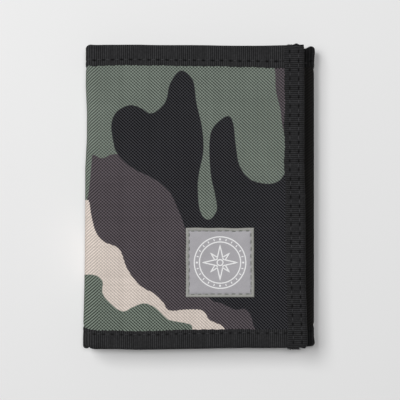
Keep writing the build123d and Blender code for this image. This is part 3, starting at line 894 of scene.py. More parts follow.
# Outlines of the print, in mm on the unfolded cloth: x as on the closed front flap, and less
# than -47 where the cloth has turned the left fold and runs across the back.
PRINT = {
    "mauve": [
        [
            (-43.7, 17.3), (-40.1, 15.9), (-34.6, 17.7), (-24, 16), (-14, 10), (-6, 2), (-3.5, -10),
            (0, -17), (10, -24), (30, -40), (34, -62), (8, -66), (-20, -60), (-38, -50), (-52, -38),
            (-62, -36), (-67, -28), (-62, -18), (-53, -10), (-46.6, -2), (-45, 6.3), (-44.3, 14),
        ],
        [(31.5, 66), (31.3, 50), (31.6, 43.6), (33.3, 36.4), (36, 25), (48, 20), (50, 66)],
        [(-92, 46), (-80, 52), (-70, 66), (-98, 70), (-112, 60), (-108, 48)],
        [(-86, 18), (-76, 6), (-80, -10), (-92, -16), (-98, -30), (-110, -36), (-120, -24), (-112, -8),
         (-108, 8), (-98, 20)],
        [(-142, 34), (-132, 22), (-136, 6), (-148, 0), (-160, 8), (-160, 34)],
    ],
    "beige": [
        [
            (-45.9, -1.2), (-44.5, -7.2), (-42.8, -14), (-39.5, -18.3), (-33, -21.5), (-29.8, -29.4),
            (-24.7, -36.3), (-18.6, -39.8), (-15, -43.3), (-12.3, -46.7), (-5, -46.3), (1.4, -46.8),
            (4.2, -50.6), (10.4, -54.5), (8, -64), (-20, -64), (-44, -56), (-54, -44), (-60, -30),
            (-56, -14), (-51, -5),
        ],
        [(-98, 20), (-90, 24), (-82, 34), (-90, 42), (-102, 38), (-112, 28), (-122, 26), (-120, 16),
         (-108, 14)],
        [(-128, -30), (-118, -36), (-112, -50), (-118, -66), (-134, -66), (-140, -48)],
    ],
    "leaf": [
        [
            (-46.9, -32.1), (-42.4, -32.4), (-39.8, -35), (-39.5, -40.5), (-32.3, -47), (-27.4, -45.3),
            (-22.7, -43.8), (-17.9, -45.8), (-13.2, -50.2), (-8.8, -51.4), (-4.8, -52.2), (-2.9, -54.3),
            (-4, -68), (-60, -68), (-62, -44), (-54, -34),
        ],
    ],
    "black": [
        [
            (-7.6, 52), (-2.8, 48.2), (-1.2, 38.7), (1.1, 28.4), (1.6, 18.9), (0, 10.7), (-0.7, 4.5),
            (0.2, -5.6), (3.7, -9.4), (7.1, -5.6), (6.5, 0.8), (4.8, 8.6), (4.1, 18.9), (4.7, 26.3),
            (7.4, 30.6), (11.8, 33.3), (13.9, 30.2), (15, 21), (16.6, 12.8), (21, 7.2), (28.2, 5.4),
            (33, 6.8), (37, 11), (50, 16), (52, -40), (48, -64), (30, -66), (22.9, -54.3), (21.4, -49.4),
            (18.8, -46.1), (14.7, -46.3), (9.3, -43.8), (3.7, -41.2), (-2, -28), (-5.9, -12.8),
            (-9, -4.5), (-12.7, 2.6), (-19.1, 7.7), (-27.3, 11.8), (-33.7, 17.7), (-35.6, 23.6),
            (-36.2, 30.1), (-34.1, 35), (-29.1, 37.7), (-24.7, 36.9), (-19.7, 34.4), (-14.1, 38.9),
            (-12, 46.8),
        ],
        [
            (-74, 36), (-66, 26), (-70, 10), (-66, -4), (-72, -18), (-84, -26), (-84, -40), (-76, -52),
            (-84, -64), (-100, -60), (-104, -44), (-98, -30), (-92, -14), (-84, 0), (-88, 14), (-84, 30),
            (-80, 40),
        ],
        [
            (-116, 56), (-106, 46), (-110, 32), (-122, 26), (-126, 10), (-120, -6), (-126, -20),
            (-140, -26), (-156, -20), (-158, 0), (-142, 4), (-136, 18), (-134, 36), (-140, 50),
            (-134, 64), (-122, 66),
        ],
        [(-62, 70), (-58, 58), (-64, 48), (-74, 50), (-80, 60), (-78, 70)],
    ],
}


def paint_print(piece, s, y):
    """Paint each colour's depth inside its outlines, for the two faces of a sheet."""
    across = front_corner_x - s
    for colour, outlines in PRINT.items():
        deepest = np.full(across.shape, -20 * MM)
        for outline in outlines:
            curve = curve_through(outline) * MM
            deepest = np.maximum(deepest, depth_inside(curve, across, y))
        paint(piece, colour, doubled(deepest))


# ------------------------------------------------------------------ stitches
STITCH_PITCH = 3.74 * MM
PINCH_DEPTH = 0.26 * MM
CAPSULE_RINGS = 7
CAPSULE_SIDES = 7


def stitch_points(s, y, n, along, length, radius, sink):
    """One stitch: a thread that rises from one hole and dips into the next."""
    rows = []
    in_s, in_y = (1, 0) if along == "s" else (0, 1)
    for ring in range(CAPSULE_RINGS):
        t = -1 + 2 * ring / (CAPSULE_RINGS - 1)
        wide = radius * math.sqrt(max(0.12, 1 - abs(t) ** 3))
        for side in range(CAPSULE_SIDES):
            turn = TURN * side / CAPSULE_SIDES
            off = wide * math.cos(turn)
            rows.append((
                s + in_s * t * length / 2 + in_y * off,
                y + in_y * t * length / 2 + in_s * off,
                n + wide * math.sin(turn) - sink * abs(t) ** 3,
            ))
    return rows


def stitch_faces(first):
    faces = []
    for ring in range(CAPSULE_RINGS - 1):
        for side in range(CAPSULE_SIDES):
            a = first + ring * CAPSULE_SIDES + side
            b = first + ring * CAPSULE_SIDES + (side + 1) % CAPSULE_SIDES
            faces.append((a, b, b + CAPSULE_SIDES, a + CAPSULE_SIDES))
    last = first + (CAPSULE_RINGS - 1) * CAPSULE_SIDES
    faces.append(tuple(range(first, first + CAPSULE_SIDES)))
    faces.append(tuple(range(last, last + CAPSULE_SIDES)))
    return faces


def stitches(
    name, rows, body=None, bend=None, nodes=(), seed=5, slot="black_thread",
    length=2.3 * MM, radius=0.17 * MM, sink=0.32 * MM,
):
    """Many stitches as one piece. Each row is (direction, [(s, y, n), ...])."""
    rng = np.random.default_rng(seed)
    points, faces = [], []
    for along, places in rows:
        for s, y, n in places:
            skew = rng.normal(0, 0.05 * MM, 2)
            faces += stitch_faces(len(points))
            points += stitch_points(s + skew[0], y + skew[1], n, along, length, radius, sink)
    points = np.array(points)
    placed = cloth.place(points[:, 0], points[:, 1], points[:, 2])
    piece = mesh_piece(name, placed, faces, material=MATERIALS[slot])
    return put_on(piece, slot, body, bend, nodes)


def row_places(start, end, pitch):
    """Evenly spaced places between two ends, close to a pitch apart."""
    count = max(1, round((end - start) / pitch))
    return start + (np.arange(count) + 0.5) * (end - start) / count


def pinch(value, lines, holes, width=0.42 * MM):
    """How much a row of stitches pulls the cloth in: all along it, and most at its holes."""
    return bump(value, lines, width) * (0.35 + 0.65 * holes)


def hole_wave(value, start, pitch):
    """1 at each needle hole and 0 midway between them."""
    return (0.5 + 0.5 * np.cos(TURN * (value - start) / pitch)) ** 3


# ------------------------------------------------------------------ printed cloth
SHELL_STEP = 0.8 * MM
EDGE_MARGIN = 0.95 * MM
CAMO_END = cloth.on_leg(BACK, x=span("back_shell", 0)[1] - 2.6 * MM)
BLACK_START = CAMO_END - 6 * MM


def shell_sheet(name, start, end, slot, n_shift=lambda s: 0 * s):
    """A stretch of the outer cloth, from the bottom tape to the top tape."""
    s = cloth.stations(start, end, SHELL_STEP)[:, None]
    share = np.linspace(0, 1, round(123 * MM / SHELL_STEP))[None, :]
    low, high = bottom_edge(s) + EDGE_MARGIN, top_edge(s) - EDGE_MARGIN
    y = low + (high - low) * share
    s = np.broadcast_to(s, y.shape)
    n = panel_lift(s, y) + n_shift(s)
    piece = cloth_piece(name, s, y, n, SHELL / 2, MATERIALS[slot])
    if slot == "camo_nylon":
        paint_print(piece, s, y)
        paint(piece, "backing", np.repeat([0.0, 1.0], s.size))
    return piece


FREE_EDGE = 0.75 * MM
for stretch, low, high, bend in stretches(FREE_EDGE, CAMO_END):
    stretch = "back_right" if stretch == "right" else stretch
    piece = shell_sheet(f"camo_cloth_{stretch}", low, high, "camo_nylon")
    put_on(piece, "camo_nylon", bend=bend, nodes=nodes_of(stretch, "shell"))


def seam_step(s):
    """The black cloth starts behind the printed cloth and comes out level with it."""
    return -(SHELL + 0.05 * MM) * (1 - smooth(s, CAMO_END - 0.1 * MM, CAMO_END + 0.7 * MM))


for stretch, low, high, bend in stretches(BLACK_START, cloth.length - FREE_EDGE):
    piece = shell_sheet(f"black_cloth_{stretch}", low, high, "black_nylon", seam_step)
    put_on(piece, "black_nylon", bend=bend, nodes=nodes_of(stretch, "shell"))


# ------------------------------------------------------------------ lining
for stretch, low, high, bend in stretches(FREE_EDGE, cloth.length - FREE_EDGE):
    s = cloth.stations(low, high, 1.1 * MM)[:, None]
    share = np.linspace(0, 1, 100)[None, :]
    bottom, top = plain_bottom(s) + EDGE_MARGIN, plain_liner_top(s) - 0.2 * MM
    y = bottom + (top - bottom) * share
    s = np.broadcast_to(s, y.shape)
    sag = 0.1 * MM * undulation(s, y, 30 * MM, 21) * smooth(y - bottom, 2 * MM, 10 * MM)
    n = sag - liner_gap(s)
    piece = cloth_piece(f"lining_{stretch}", s, y, n, LINER / 2, MATERIALS["lining"])
    put_on(piece, "lining", bend=bend, nodes=nodes_of(stretch, "liner"))


# ------------------------------------------------------------------ tapes along the edges
def wrapped_tape(name, ends, edge, inward, width, high, low, thick, slot, row, spread=None):
    """Tape folded over an edge that runs round the folds.

    `edge(s)` is its outer edge and `inward` the sign of y away from it; `high(s)` and
    `low(s)` are the heights of the middles of its two legs, and `row` is how far its stitches
    are from the edge. `spread(s)` widens its outer leg.
    """
    s = cloth.stations(*ends, 0.6 * MM, 0.35 * MM)
    sections = [fold_section(width, high(place), low(place), thick) for place in s]
    (outer_d, outer_n), (inner_d, inner_n) = (
        np.array([section[face] for section in sections]).swapaxes(0, 1) for face in (0, 1)
    )
    across = sections[-1][2]
    grid_s = np.broadcast_to(s[:, None], outer_d.shape)
    pulled = pinch(outer_d, row, hole_wave(grid_s, 0, STITCH_PITCH))
    pucker = 0.1 * MM * np.cos(TURN * grid_s / STITCH_PITCH) * smooth(outer_d, row, width)
    middle_height = ((high(s) + low(s)) / 2)[:, None]
    side = np.sign(outer_n - middle_height)
    wander = 0.22 * MM * undulation(grid_s, side, 17 * MM, 31)
    if spread:
        wander = wander + spread(grid_s) * (side > 0)
    wander = wander * smooth(outer_d, width * 0.5, width)
    sink = PINCH_DEPTH * pulled * side
    lift = 0.06 * MM * undulation(grid_s, outer_d, 7 * MM, 32) * side
    faces = []
    for distance, height in ((outer_d, outer_n), (inner_d, inner_n)):
        y = edge(grid_s) + inward * (distance + pucker + wander)
        faces.append(cloth.place(grid_s, y, height - sink + lift))
    points, quads = between(*faces)
    grid_uv = np.stack([grid_s, np.broadcast_to(across, grid_s.shape)], -1)
    piece = mesh_piece(name, points, quads, doubled(grid_uv), MATERIALS[slot])
    # The materials paint shade from this where the stitches pull the tape in.
    paint(piece, "pinch", doubled(pulled))
    return piece


TOP_ROW = 6.1 * MM
BOTTOM_ROW = 6.4 * MM
THREAD_RISE = 0.02 * MM
THREAD_SUNK = 0.1 * MM


def thread_row(ends, edge, inward, row, height):
    """Stitches along a tape, between the holes that hole_wave makes."""
    first = math.ceil((ends[0] + 0.4 * STITCH_PITCH) / STITCH_PITCH)
    last = math.floor((ends[1] - 0.4 * STITCH_PITCH) / STITCH_PITCH)
    centres = (np.arange(first, last) + 0.5) * STITCH_PITCH
    return "s", [(s, float(edge(s)) + inward * row, float(height(s)) + THREAD_RISE) for s in centres]


def top_leg(s):
    return TAPE_LEG + 0 * s


def under_leg(s):
    return -TAPE_LEG + 0 * s


def bottom_under_leg(s):
    return -liner_gap(s) - (LINER + TAPE) / 2


TAPE_TUCK = 3 * MM
for place, edge, inward, row, low_leg, spread in (
    ("top", top_edge, -1, TOP_ROW, under_leg, top_spread),
    ("bottom", bottom_edge, 1, BOTTOM_ROW, bottom_under_leg, bottom_spread),
):
    for stretch, *ends, bend in stretches(END_TAPE_START - TAPE_TUCK, INNER_TAPE_START + TAPE_TUCK):
        piece = wrapped_tape(
            f"{place}_tape_{stretch}", ends, edge, inward, TAPE_WIDTH, top_leg, low_leg, TAPE,
            "grosgrain", row, spread,
        )
        put_on(piece, "grosgrain", bend=bend, nodes=nodes_of(stretch, f"{place}_binding"))
        rows = [
            thread_row(ends, edge, inward, row, lambda s: TAPE_LEG + TAPE / 2 - THREAD_SUNK),
            thread_row(ends, edge, inward, row, lambda s: low_leg(s) - TAPE / 2 + THREAD_SUNK),
        ]
        kept = ("front_edge_stitches",) if stretch == "front" else ()
        thread = stitches(f"{place}_tape_thread_{stretch}", rows, bend=bend, nodes=kept)
        opened = 2 * TAPE_WIDTH + float(top_leg(ends[0]) - low_leg(ends[0]))


# ------------------------------------------------------------------ threads as tubes
def tube(points, radius, sides=7):
    """Points and faces of a round tube along a line of points."""
    points = np.array(points, float)
    run = np.gradient(points, axis=0)
    run = run / np.linalg.norm(run, axis=1)[:, None]
    side = np.cross(run[0], [0.3, 0.5, 0.81])
    rings = []
    for point, forward in zip(points, run):
        side = side - forward * np.dot(side, forward)
        side = side / np.linalg.norm(side)
        other = np.cross(forward, side)
        turn = np.arange(sides) / sides * TURN
        rings.append(point + radius * (np.cos(turn)[:, None] * side + np.sin(turn)[:, None] * other))
    index = np.arange(len(points) * sides).reshape(-1, sides)
    shifted = np.roll(index, -1, axis=1)
    quads = np.stack([index[:-1], shifted[:-1], shifted[1:], index[1:]], -1).reshape(-1, 4).tolist()
    return np.concatenate(rings), quads + [index[0].tolist(), index[-1, ::-1].tolist()]


def many_tubes(name, lines, radius, material, sides=5):
    """Many separate tubes as one piece."""
    points, faces, first = [], [], 0
    for line in lines:
        some, quads = tube(line, radius, sides)
        points.append(some)
        faces += [[first + corner for corner in quad] for quad in quads]
        first += len(some)
    return mesh_piece(name, np.concatenate(points), faces, material=material, sharp=70)


# ------------------------------------------------------------------ tapes over the free ends
END_PLACES = np.array([-62, -50, -35, -15, 0, 12, 50, 60]) * MM
END_SLANT = np.array([1.45, 1.1, 0.65, 0.5, 0.35, 0, 0, -0.08]) * MM
# How far the end tape's two legs stand off where they lie over the top and bottom tapes.
OVER_RISE = 0.36 * MM
UNDER_DROP = 0.3 * MM
UNDER_THREAD_SUNK = 0.18 * MM


def over_tapes(distance_out, end):
    """0 along an end tape, and 1 where it lies over the tape at one of its ends."""
    return smooth(distance_out, end - 9.4 * MM, end - 7.6 * MM)


def end_tape(end, body, y_span, rows, seed, thread_seed, kept=()):
    """Tape folded over a free end of the cloth, and its stitches.

    Returns both pieces, how wide the tape shows and its size when opened out.
    """
    front = end == "front"
    cloth_end, start_s = (0, END_TAPE_START) if front else (cloth.length, INNER_TAPE_START)
    inward = 1 if front else -1
    slant = END_SLANT if front else 0 * END_SLANT
    edge_s = cloth_end - inward * TAPE
    width = abs(start_s - cloth_end) + TAPE
    high, low = TAPE_LEG, float(bottom_under_leg(cloth_end))
    tip = y_span[1]
    y = columns_between(*y_span, 0.55 * MM, TAPE / 2)
    outer, inner, across = fold_section(width, high, low, TAPE)
    grid_y = np.broadcast_to(y[:, None], (len(y), len(across)))
    side = np.sign(outer[1] - (high + low) / 2)[None, :]
    distance = np.broadcast_to(outer[0][None, :], grid_y.shape)
    holes = hole_wave(grid_y, 0, STITCH_PITCH)
    pulled = sum(pinch(distance, row, holes) for row in rows)
    near_end = np.maximum(over_tapes(grid_y, tip), over_tapes(-grid_y, -y_span[0]))
    outside = smooth(side, -1, 1)
    lift = near_end * (OVER_RISE * outside - UNDER_DROP * (1 - outside))
    wander = 0.28 * MM * undulation(grid_y, side, 19 * MM, seed) * smooth(distance, width * 0.5, width)
    pucker = 0.1 * MM * np.cos(TURN * grid_y / STITCH_PITCH) * smooth(distance, rows[-1], width)
    set_out = 0.06 * MM * undulation(grid_y, 0, 26 * MM, seed + 1) - np.interp(grid_y, END_PLACES, slant)
    cut = 0.35 * MM * undulation(distance, side * 3 * MM, 4.5 * MM, seed + 2)
    cut = cut * smooth(abs(grid_y), tip - 3 * MM, tip) * np.sign(grid_y)
    ripple = 0.07 * MM * undulation(grid_y, distance, 6 * MM, seed + 3) * side
    corner = smooth(abs(grid_y), tip - 1.8 * MM, tip - 0.1 * MM)
    drawn_in = np.where(grid_y > 0, 0.15 * MM, 1.0 * MM) * corner
    drawn_in = drawn_in * (1 - smooth(distance, 0, width * 0.6))
    lump = 0.3 * MM * bump(abs(grid_y), tip - 1.0 * MM, 0.8 * MM)
    lump = lump * bump(distance, 2.6 * MM, 1.3 * MM) * side
    top, bottom = smooth(grid_y, tip - 2 * MM, tip), smooth(-grid_y, tip - 2 * MM, tip)
    cut = cut + 0.85 * MM * bump(distance, 3.3 * MM, 1.1 * MM) * top
    cut = cut + 0.4 * MM * (1 - smooth(distance, 3.4 * MM, 4.8 * MM)) * bottom
    faces = []
    for part_d, part_n in (outer, inner):
        s = edge_s + inward * (part_d[None, :] + wander + pucker + set_out + drawn_in)
        n = part_n[None, :] - PINCH_DEPTH * pulled * side + lift + ripple + lump
        faces.append(cloth.place(s, grid_y + cut, n))
    points, quads = between(*faces)
    grid_uv = np.stack([grid_y, np.broadcast_to(across, grid_y.shape)], -1)
    # Its material is the darker copy of the grosgrain, with painted shade.
    tape = mesh_piece(f"{end}_end_tape", points, quads, doubled(grid_uv), MATERIALS["shaded_end_grosgrain"])
    # The material paints shade from this where the stitches pull the tape in.
    paint(tape, "pinch", doubled(pulled))
    put_on(tape, "grosgrain", body, nodes=(f"{body}_end_binding",))

    first = math.ceil((y_span[0] + 0.5 * STITCH_PITCH) / STITCH_PITCH)
    centres = (np.arange(first, -first) + 0.5) * STITCH_PITCH
    ends = over_tapes(abs(centres), tip)
    threads = []
    for row in rows:
        for height, rise in (
            (high + TAPE / 2 - THREAD_SUNK + THREAD_RISE, OVER_RISE),
            (low - TAPE / 2 + UNDER_THREAD_SUNK - THREAD_RISE, -UNDER_DROP),
        ):
            places = [
                (edge_s + inward * (row - np.interp(y, END_PLACES, slant)), y, height + off)
                for y, off in zip(centres, ends * rise)
            ]
            threads.append(("y", places))
    thread = stitches(f"{end}_end_thread", threads, body, nodes=kept, seed=thread_seed)
    return tape, thread, width, (2 * width + high - low, tip - y_span[0])


END_TRIM = 0.25 * MM
front_end_span = [y - math.copysign(END_TRIM, y) for y in span("front_flap_end_binding", 1)]
FRONT_END_ROWS = (TAPE + s_front(40.85 * MM), TAPE + s_front(37.3 * MM))
INNER_END_ROWS = (2.4 * MM, 6.2 * MM)
front_tape, front_thread, front_tape_width, front_tape_size = end_tape(
    "front", "front_flap", front_end_span, FRONT_END_ROWS, 41, 6, ("front_end_stitches",)
)


def fray(name, y_end, outward, count, seed, nearest):
    """Loose fibres where the front flap's end tape is cut across."""
    rng = np.random.default_rng(seed)
    slant = np.interp(y_end, END_PLACES, END_SLANT)
    low, high = float(bottom_under_leg(0)), TAPE_LEG + 0.3 * MM
    tufts = rng.uniform(nearest, front_tape_width / MM - 0.3, 9) * MM
    t = np.linspace(0, 1, 5)
    lines = []
    for number in range(count):
        place = tufts[number % len(tufts)] + rng.normal(0, 0.32 * MM)
        reach = rng.uniform(0.25, 0.85) * MM
        lean, height = rng.normal(0, 0.35 * MM), rng.uniform(low, high)
        s = -TAPE - slant + place + lean * t**2
        y = y_end + outward * (reach * t - 0.5 * MM)
        lines.append(cloth.place(s, y, height + rng.normal(0, 0.25 * MM) * t))
    return many_tubes(name, lines, 0.07 * MM, MATERIALS["black_thread"], sides=4)


frays = [
    fray("front_end_fray_bottom", front_end_span[0], -1, 130, 44, 3.4),
    fray("front_end_fray_top", front_end_span[1], 1, 70, 45, 0.6),
]
for piece in frays:
    put_on(piece, "black_thread", "front_flap")

inner_tape, inner_thread, _, inner_tape_size = end_tape(
    "inner", "inner_flap", span("inner_flap_end_binding", 1), INNER_END_ROWS, 51, 7
)


# ------------------------------------------------------------------ label on the front flap
label_x = span("label_patch", 0)
label_y = (span("label_patch", 1)[0], span("label_patch", 1)[1] + 0.25 * MM)
LABEL = thickness_of("label_patch")
LABEL_INSET = 1.25 * MM
LABEL_PITCH = 3.0 * MM


def label_height(s, y):
    """The middle of the label, which follows the cloth under it."""
    return panel_lift(s, y) + (SHELL + LABEL) / 2


def edge_distance(x, y):
    return np.minimum(to_nearest(x, label_x), to_nearest(y, label_y))


def seam_holes(value, ends, other, other_ends):
    """The needle holes of the label's two seams that run along `value`."""
    near_seam = bump(to_nearest(other, other_ends), LABEL_INSET, 0.6 * MM)
    return hole_wave(value, ends[0] + LABEL_INSET, LABEL_PITCH) * near_seam


def strayed(value, other, inside, wavelength, seed):
    """A place near one edge of the label, moved as that edge strays from straight."""
    wave = 0.12 * MM * undulation(other, 0, wavelength, seed)
    return value + wave * (1 - smooth(inside, 0, 4 * MM))


x = columns_between(*label_x, 0.4 * MM, LABEL / 2)[:, None]
y = columns_between(*label_y, 0.4 * MM, LABEL / 2)[None, :]
x, y = np.broadcast_arrays(x, y)
to_edge = edge_distance(x, y)
holes = np.maximum(seam_holes(x, label_x, y, label_y), seam_holes(y, label_y, x, label_x))
pulled = bump(to_edge, LABEL_INSET, 0.4 * MM) * (0.4 + 0.6 * holes)
uneven_x = strayed(x, y, x - label_x[0], 12 * MM, 61)
uneven_x = strayed(uneven_x, y, label_x[1] - x, 11 * MM, 62)
uneven_y = strayed(y, x, label_y[1] - y, 12 * MM, 63)
label_s = s_front(uneven_x)
height = label_height(label_s, y) - 0.16 * MM * pulled + 0.05 * MM * smooth(to_edge, 1.5 * MM, 6 * MM)
rim = rounded_rim(to_edge, LABEL / 2)
label = cloth_piece("label", label_s, uneven_y, height, rim, MATERIALS["label_cloth"], uv=[x, y])
# The label's material paints shade from this along its stitching.
paint(label, "pinch", doubled(pulled))
paint(label, "border", doubled(1 - smooth(to_edge, 0.95 * MM, 1.35 * MM)))
put_on(label, "label_cloth", "front_flap", nodes=("label_patch",))


def label_row(along, places, fixed):
    """A row of stitches near one edge of the label."""
    rows = []
    for place in places:
        x, y = (place, fixed) if along == "s" else (fixed, place)
        s = s_front(x)
        rows.append((s, y, float(label_height(s, y)) + LABEL / 2 - THREAD_SUNK))
    return along, rows


seam_x = label_x[0] + LABEL_INSET, label_x[1] - LABEL_INSET
seam_y = label_y[0] + LABEL_INSET, label_y[1] - LABEL_INSET
rows = [label_row("s", row_places(*seam_x, LABEL_PITCH), y) for y in seam_y]
rows += [label_row("y", row_places(*seam_y, LABEL_PITCH), x) for x in seam_x]
label_thread = stitches(
    "label_thread", rows, "front_flap", nodes=("label_stitches",), seed=8, slot="label_thread",
    length=2.2 * MM, radius=0.2 * MM, sink=0.26 * MM,
)

# The print is a plain compass star inside rings: ribbons of ink that lie on the label.
INK_WIDTH = 0.46 * MM
INK_RISE = 0.035 * MM


def ribbon(points, width, closed):
    """A flat line of ink along points, as the rows of its left and right edge."""
    points = np.array(points, float)
    if closed:
        points = np.concatenate([points, points[:1]])
        after, before = np.roll(points[:-1], -1, 0), np.roll(points[:-1], 1, 0)
        run_in, run_out = points[:-1] - before, after - points[:-1]
        run_in, run_out = np.concatenate([run_in, run_in[:1]]), np.concatenate([run_out, run_out[:1]])
    else:
        run_out = np.concatenate([np.diff(points, axis=0), [points[-1] - points[-2]]])
        run_in = np.concatenate([[points[1] - points[0]], np.diff(points, axis=0)])
    run_in = run_in / np.linalg.norm(run_in, axis=1)[:, None]
    run_out = run_out / np.linalg.norm(run_out, axis=1)[:, None]
    side_in, side_out = run_in @ [[0, 1], [-1, 0]], run_out @ [[0, 1], [-1, 0]]
    mitre = side_in + side_out
    mitre = mitre / np.linalg.norm(mitre, axis=1)[:, None]
    mitre = mitre / np.maximum(0.45, (mitre * side_in).sum(1))[:, None]
    return points + mitre * width / 2, points - mitre * width / 2


def around(turn, radius):
    return np.stack([radius * np.cos(turn), radius * np.sin(turn)], -1)


def circle(radius, count=72):
    return around(np.arange(count) / count * TURN, radius)


def star(outer, inner, tips):
    corner = np.arange(2 * tips)
    return around(math.pi / 2 + corner * math.pi / tips, np.where(corner % 2 == 0, outer, inner))


def densified(points, closed, step=0.7 * MM):
    """The same line with points close enough together to lie on the cloth."""
    points = np.array(points, float)
    ends = np.roll(points, -1, 0) if closed else points[1:]
    out = []
    for a, b in zip(points, ends):
        count = max(1, round(float(np.linalg.norm(b - a)) / step))
        out += [a + (b - a) * i / count for i in range(count)]
    return out if closed else out + [points[-1]]


EMBLEM = 10.6 * MM
emblem = [
    (circle(EMBLEM), True, INK_WIDTH),
    (circle(EMBLEM * 0.80, 64), True, INK_WIDTH),
    (circle(EMBLEM * 0.115, 16), True, INK_WIDTH),
    (star(EMBLEM * 0.66, EMBLEM * 0.17, 4), True, INK_WIDTH),
]
for quarter in range(4):
    turn = math.pi / 4 + quarter * math.pi / 2
    root = np.array([math.cos(turn), math.sin(turn)]) * EMBLEM
    across = np.array([-math.sin(turn), math.cos(turn)]) * EMBLEM
    arrow = [root * 0.20 + across * 0.075, root * 0.50, root * 0.20 - across * 0.075]
    emblem.append((arrow, False, INK_WIDTH))
for mark in range(24):
    turn = mark * math.pi / 12
    root = np.array([math.cos(turn), math.sin(turn)]) * EMBLEM
    emblem.append(([root * 0.86, root * 0.94], False, INK_WIDTH * (1.5 if mark % 6 == 0 else 0.9)))

centre = np.array([sum(label_x) / 2, sum(label_y) / 2])


def ink_height(s, x, y):
    """The label's own surface at one place."""
    swell = 0.05 * MM * float(smooth(edge_distance(x, y), 1.5 * MM, 6 * MM))
    return float(label_height(s, y)) + LABEL / 2 + swell


ink_points, ink_faces = [], []
for line, closed, width in emblem:
    left, right = ribbon(densified(line, closed), width, closed)
    first = len(ink_points)
    for pair in zip(left + centre, right + centre):
        for x, y in pair:
            s = s_front(x)
            base = ink_height(s, x, y)
            ink_points += [cloth.place(s, y, base + INK_RISE), cloth.place(s, y, base - INK_RISE)]
    for row in range(len(left) - 1):
        a = first + 4 * row
        ink_faces += [
            (a, a + 2, a + 6, a + 4), (a + 1, a + 5, a + 7, a + 3),
            (a, a + 4, a + 5, a + 1), (a + 2, a + 3, a + 7, a + 6),
        ]
    if not closed:
        last = first + 4 * (len(left) - 1)
        ink_faces += [(first, first + 1, first + 3, first + 2), (last, last + 2, last + 3, last + 1)]
label_ink = mesh_piece("label_ink", np.array(ink_points), ink_faces, material=MATERIALS["label_ink"])
put_on(label_ink, "label_cloth", "front_flap")


# ------------------------------------------------------------------ narrow tape on the lining
LINING_ROW = 3.6 * MM
NARROW_LEG = (LINER + NARROW_TAPE) / 2


def lining_edge(s):
    return plain_liner_top(s) + TAPE + 0.12 * MM * undulation(s, 0, 21 * MM, 71)


def beside_lining(off):
    """The height of a place that far out from the middle of the lining."""
    return lambda s: off - liner_gap(s)


lining_end = cloth.on_leg(BACK, x=span("back_liner", 0)[1])
surface = NARROW_LEG + NARROW_TAPE / 2 - THREAD_SUNK
for stretch, *ends, bend in stretches(END_TAPE_START - TAPE_TUCK, lining_end):
    piece = wrapped_tape(
        f"lining_tape_{stretch}", ends, lining_edge, -1, NARROW_WIDTH,
        beside_lining(NARROW_LEG), beside_lining(-NARROW_LEG), NARROW_TAPE, "narrow_tape", LINING_ROW,
    )
    put_on(piece, "narrow_tape", bend=bend, nodes=nodes_of(stretch, "liner_binding"))
    rows = [
        thread_row(ends, lining_edge, -1, LINING_ROW, beside_lining(off)) for off in (surface, -surface)
    ]
    thread = stitches(f"lining_tape_thread_{stretch}", rows, bend=bend, seed=9)
    opened = 2 * NARROW_WIDTH + 2 * NARROW_LEG


# ------------------------------------------------------------------ panels sewn on flat legs
SEAM_GRIP = 0.4 * MM
SEAM_EASE = 2.6 * MM
ALL_SIDES = ("top", "bottom", "start", "end")


def leg_height(leg, z):
    """The `n` of a height above the floor on one of the three flat legs."""
    return {FRONT: z - front_z, BACK: back_z - z, INNER: z - inner_z}[leg]


def leg_span(leg, node):
    """The stretch of cloth under a node on one of the flat legs, and its span along y."""
    return tuple(sorted(cloth.on_leg(leg, x=x) for x in span(node, 0))), span(node, 1)


def off_seam(value, seam, ease=SEAM_EASE):
    """0 at a seam and 1 where the cloth past it is free."""
    return smooth(value, seam + SEAM_GRIP, seam + ease)


def sewn_panel(name, leg, node, thick, slot, body, seed, open_side="top", hangs=False):
    """A panel of cloth over a gap, sewn down on the three sides that aren't open.

    It's fixed to what lies below it, or to what lies above it if it hangs. Returns the piece,
    the height of its middle as a function, and its two spans.
    """
    low, high = span(node, 2)
    low, high = low + thick / 2, high - thick / 2
    base, free = (leg_height(leg, z) for z in ((high, low) if hangs else (low, high)))
    s_span, y_span = leg_span(leg, node)

    def height(s, y):
        sewn = off_seam(y, y_span[0]) if open_side == "top" else off_seam(-y, -y_span[1])
        sides = off_seam(s, s_span[0]), off_seam(-s, -s_span[1]), sewn
        share = np.minimum.reduce(np.broadcast_arrays(*sides))
        soft = 0.85 + 0.12 * undulation(s, y, 26 * MM, seed)
        return base + (free - base) * share * np.clip(soft, 0, 1)

    piece = flat_sheet(name, s_span, y_span, height, thick / 2, MATERIALS[slot])
    put_on(piece, "pocket_cloth", body, nodes=(node,))
    return piece, height, s_span, y_span


def panel_rows(height, s_span, y_span, thick, inset, sides, outward):
    """Stitches just inside the named sides of a panel; `outward` is the sign of n on show."""
    rows = []
    rise = outward * (thick / 2 - 0.08 * MM)
    for side in sides:
        if side in ("top", "bottom"):
            y = y_span[1] - inset if side == "top" else y_span[0] + inset
            places = row_places(s_span[0] + inset, s_span[1] - inset, STITCH_PITCH)
            rows.append(("s", [(s, y, float(height(s, y)) + rise) for s in places]))
        else:
            s = s_span[0] + inset if side == "start" else s_span[1] - inset
            places = row_places(y_span[0] + inset, y_span[1] - inset, STITCH_PITCH)
            rows.append(("y", [(s, y, float(height(s, y)) + rise) for y in places]))
    return rows


POCKET = 0.35 * MM
SLIP_POCKET = 0.3 * MM
PANEL_INSET = 1.1 * MM
CARD_SLOTS = 3


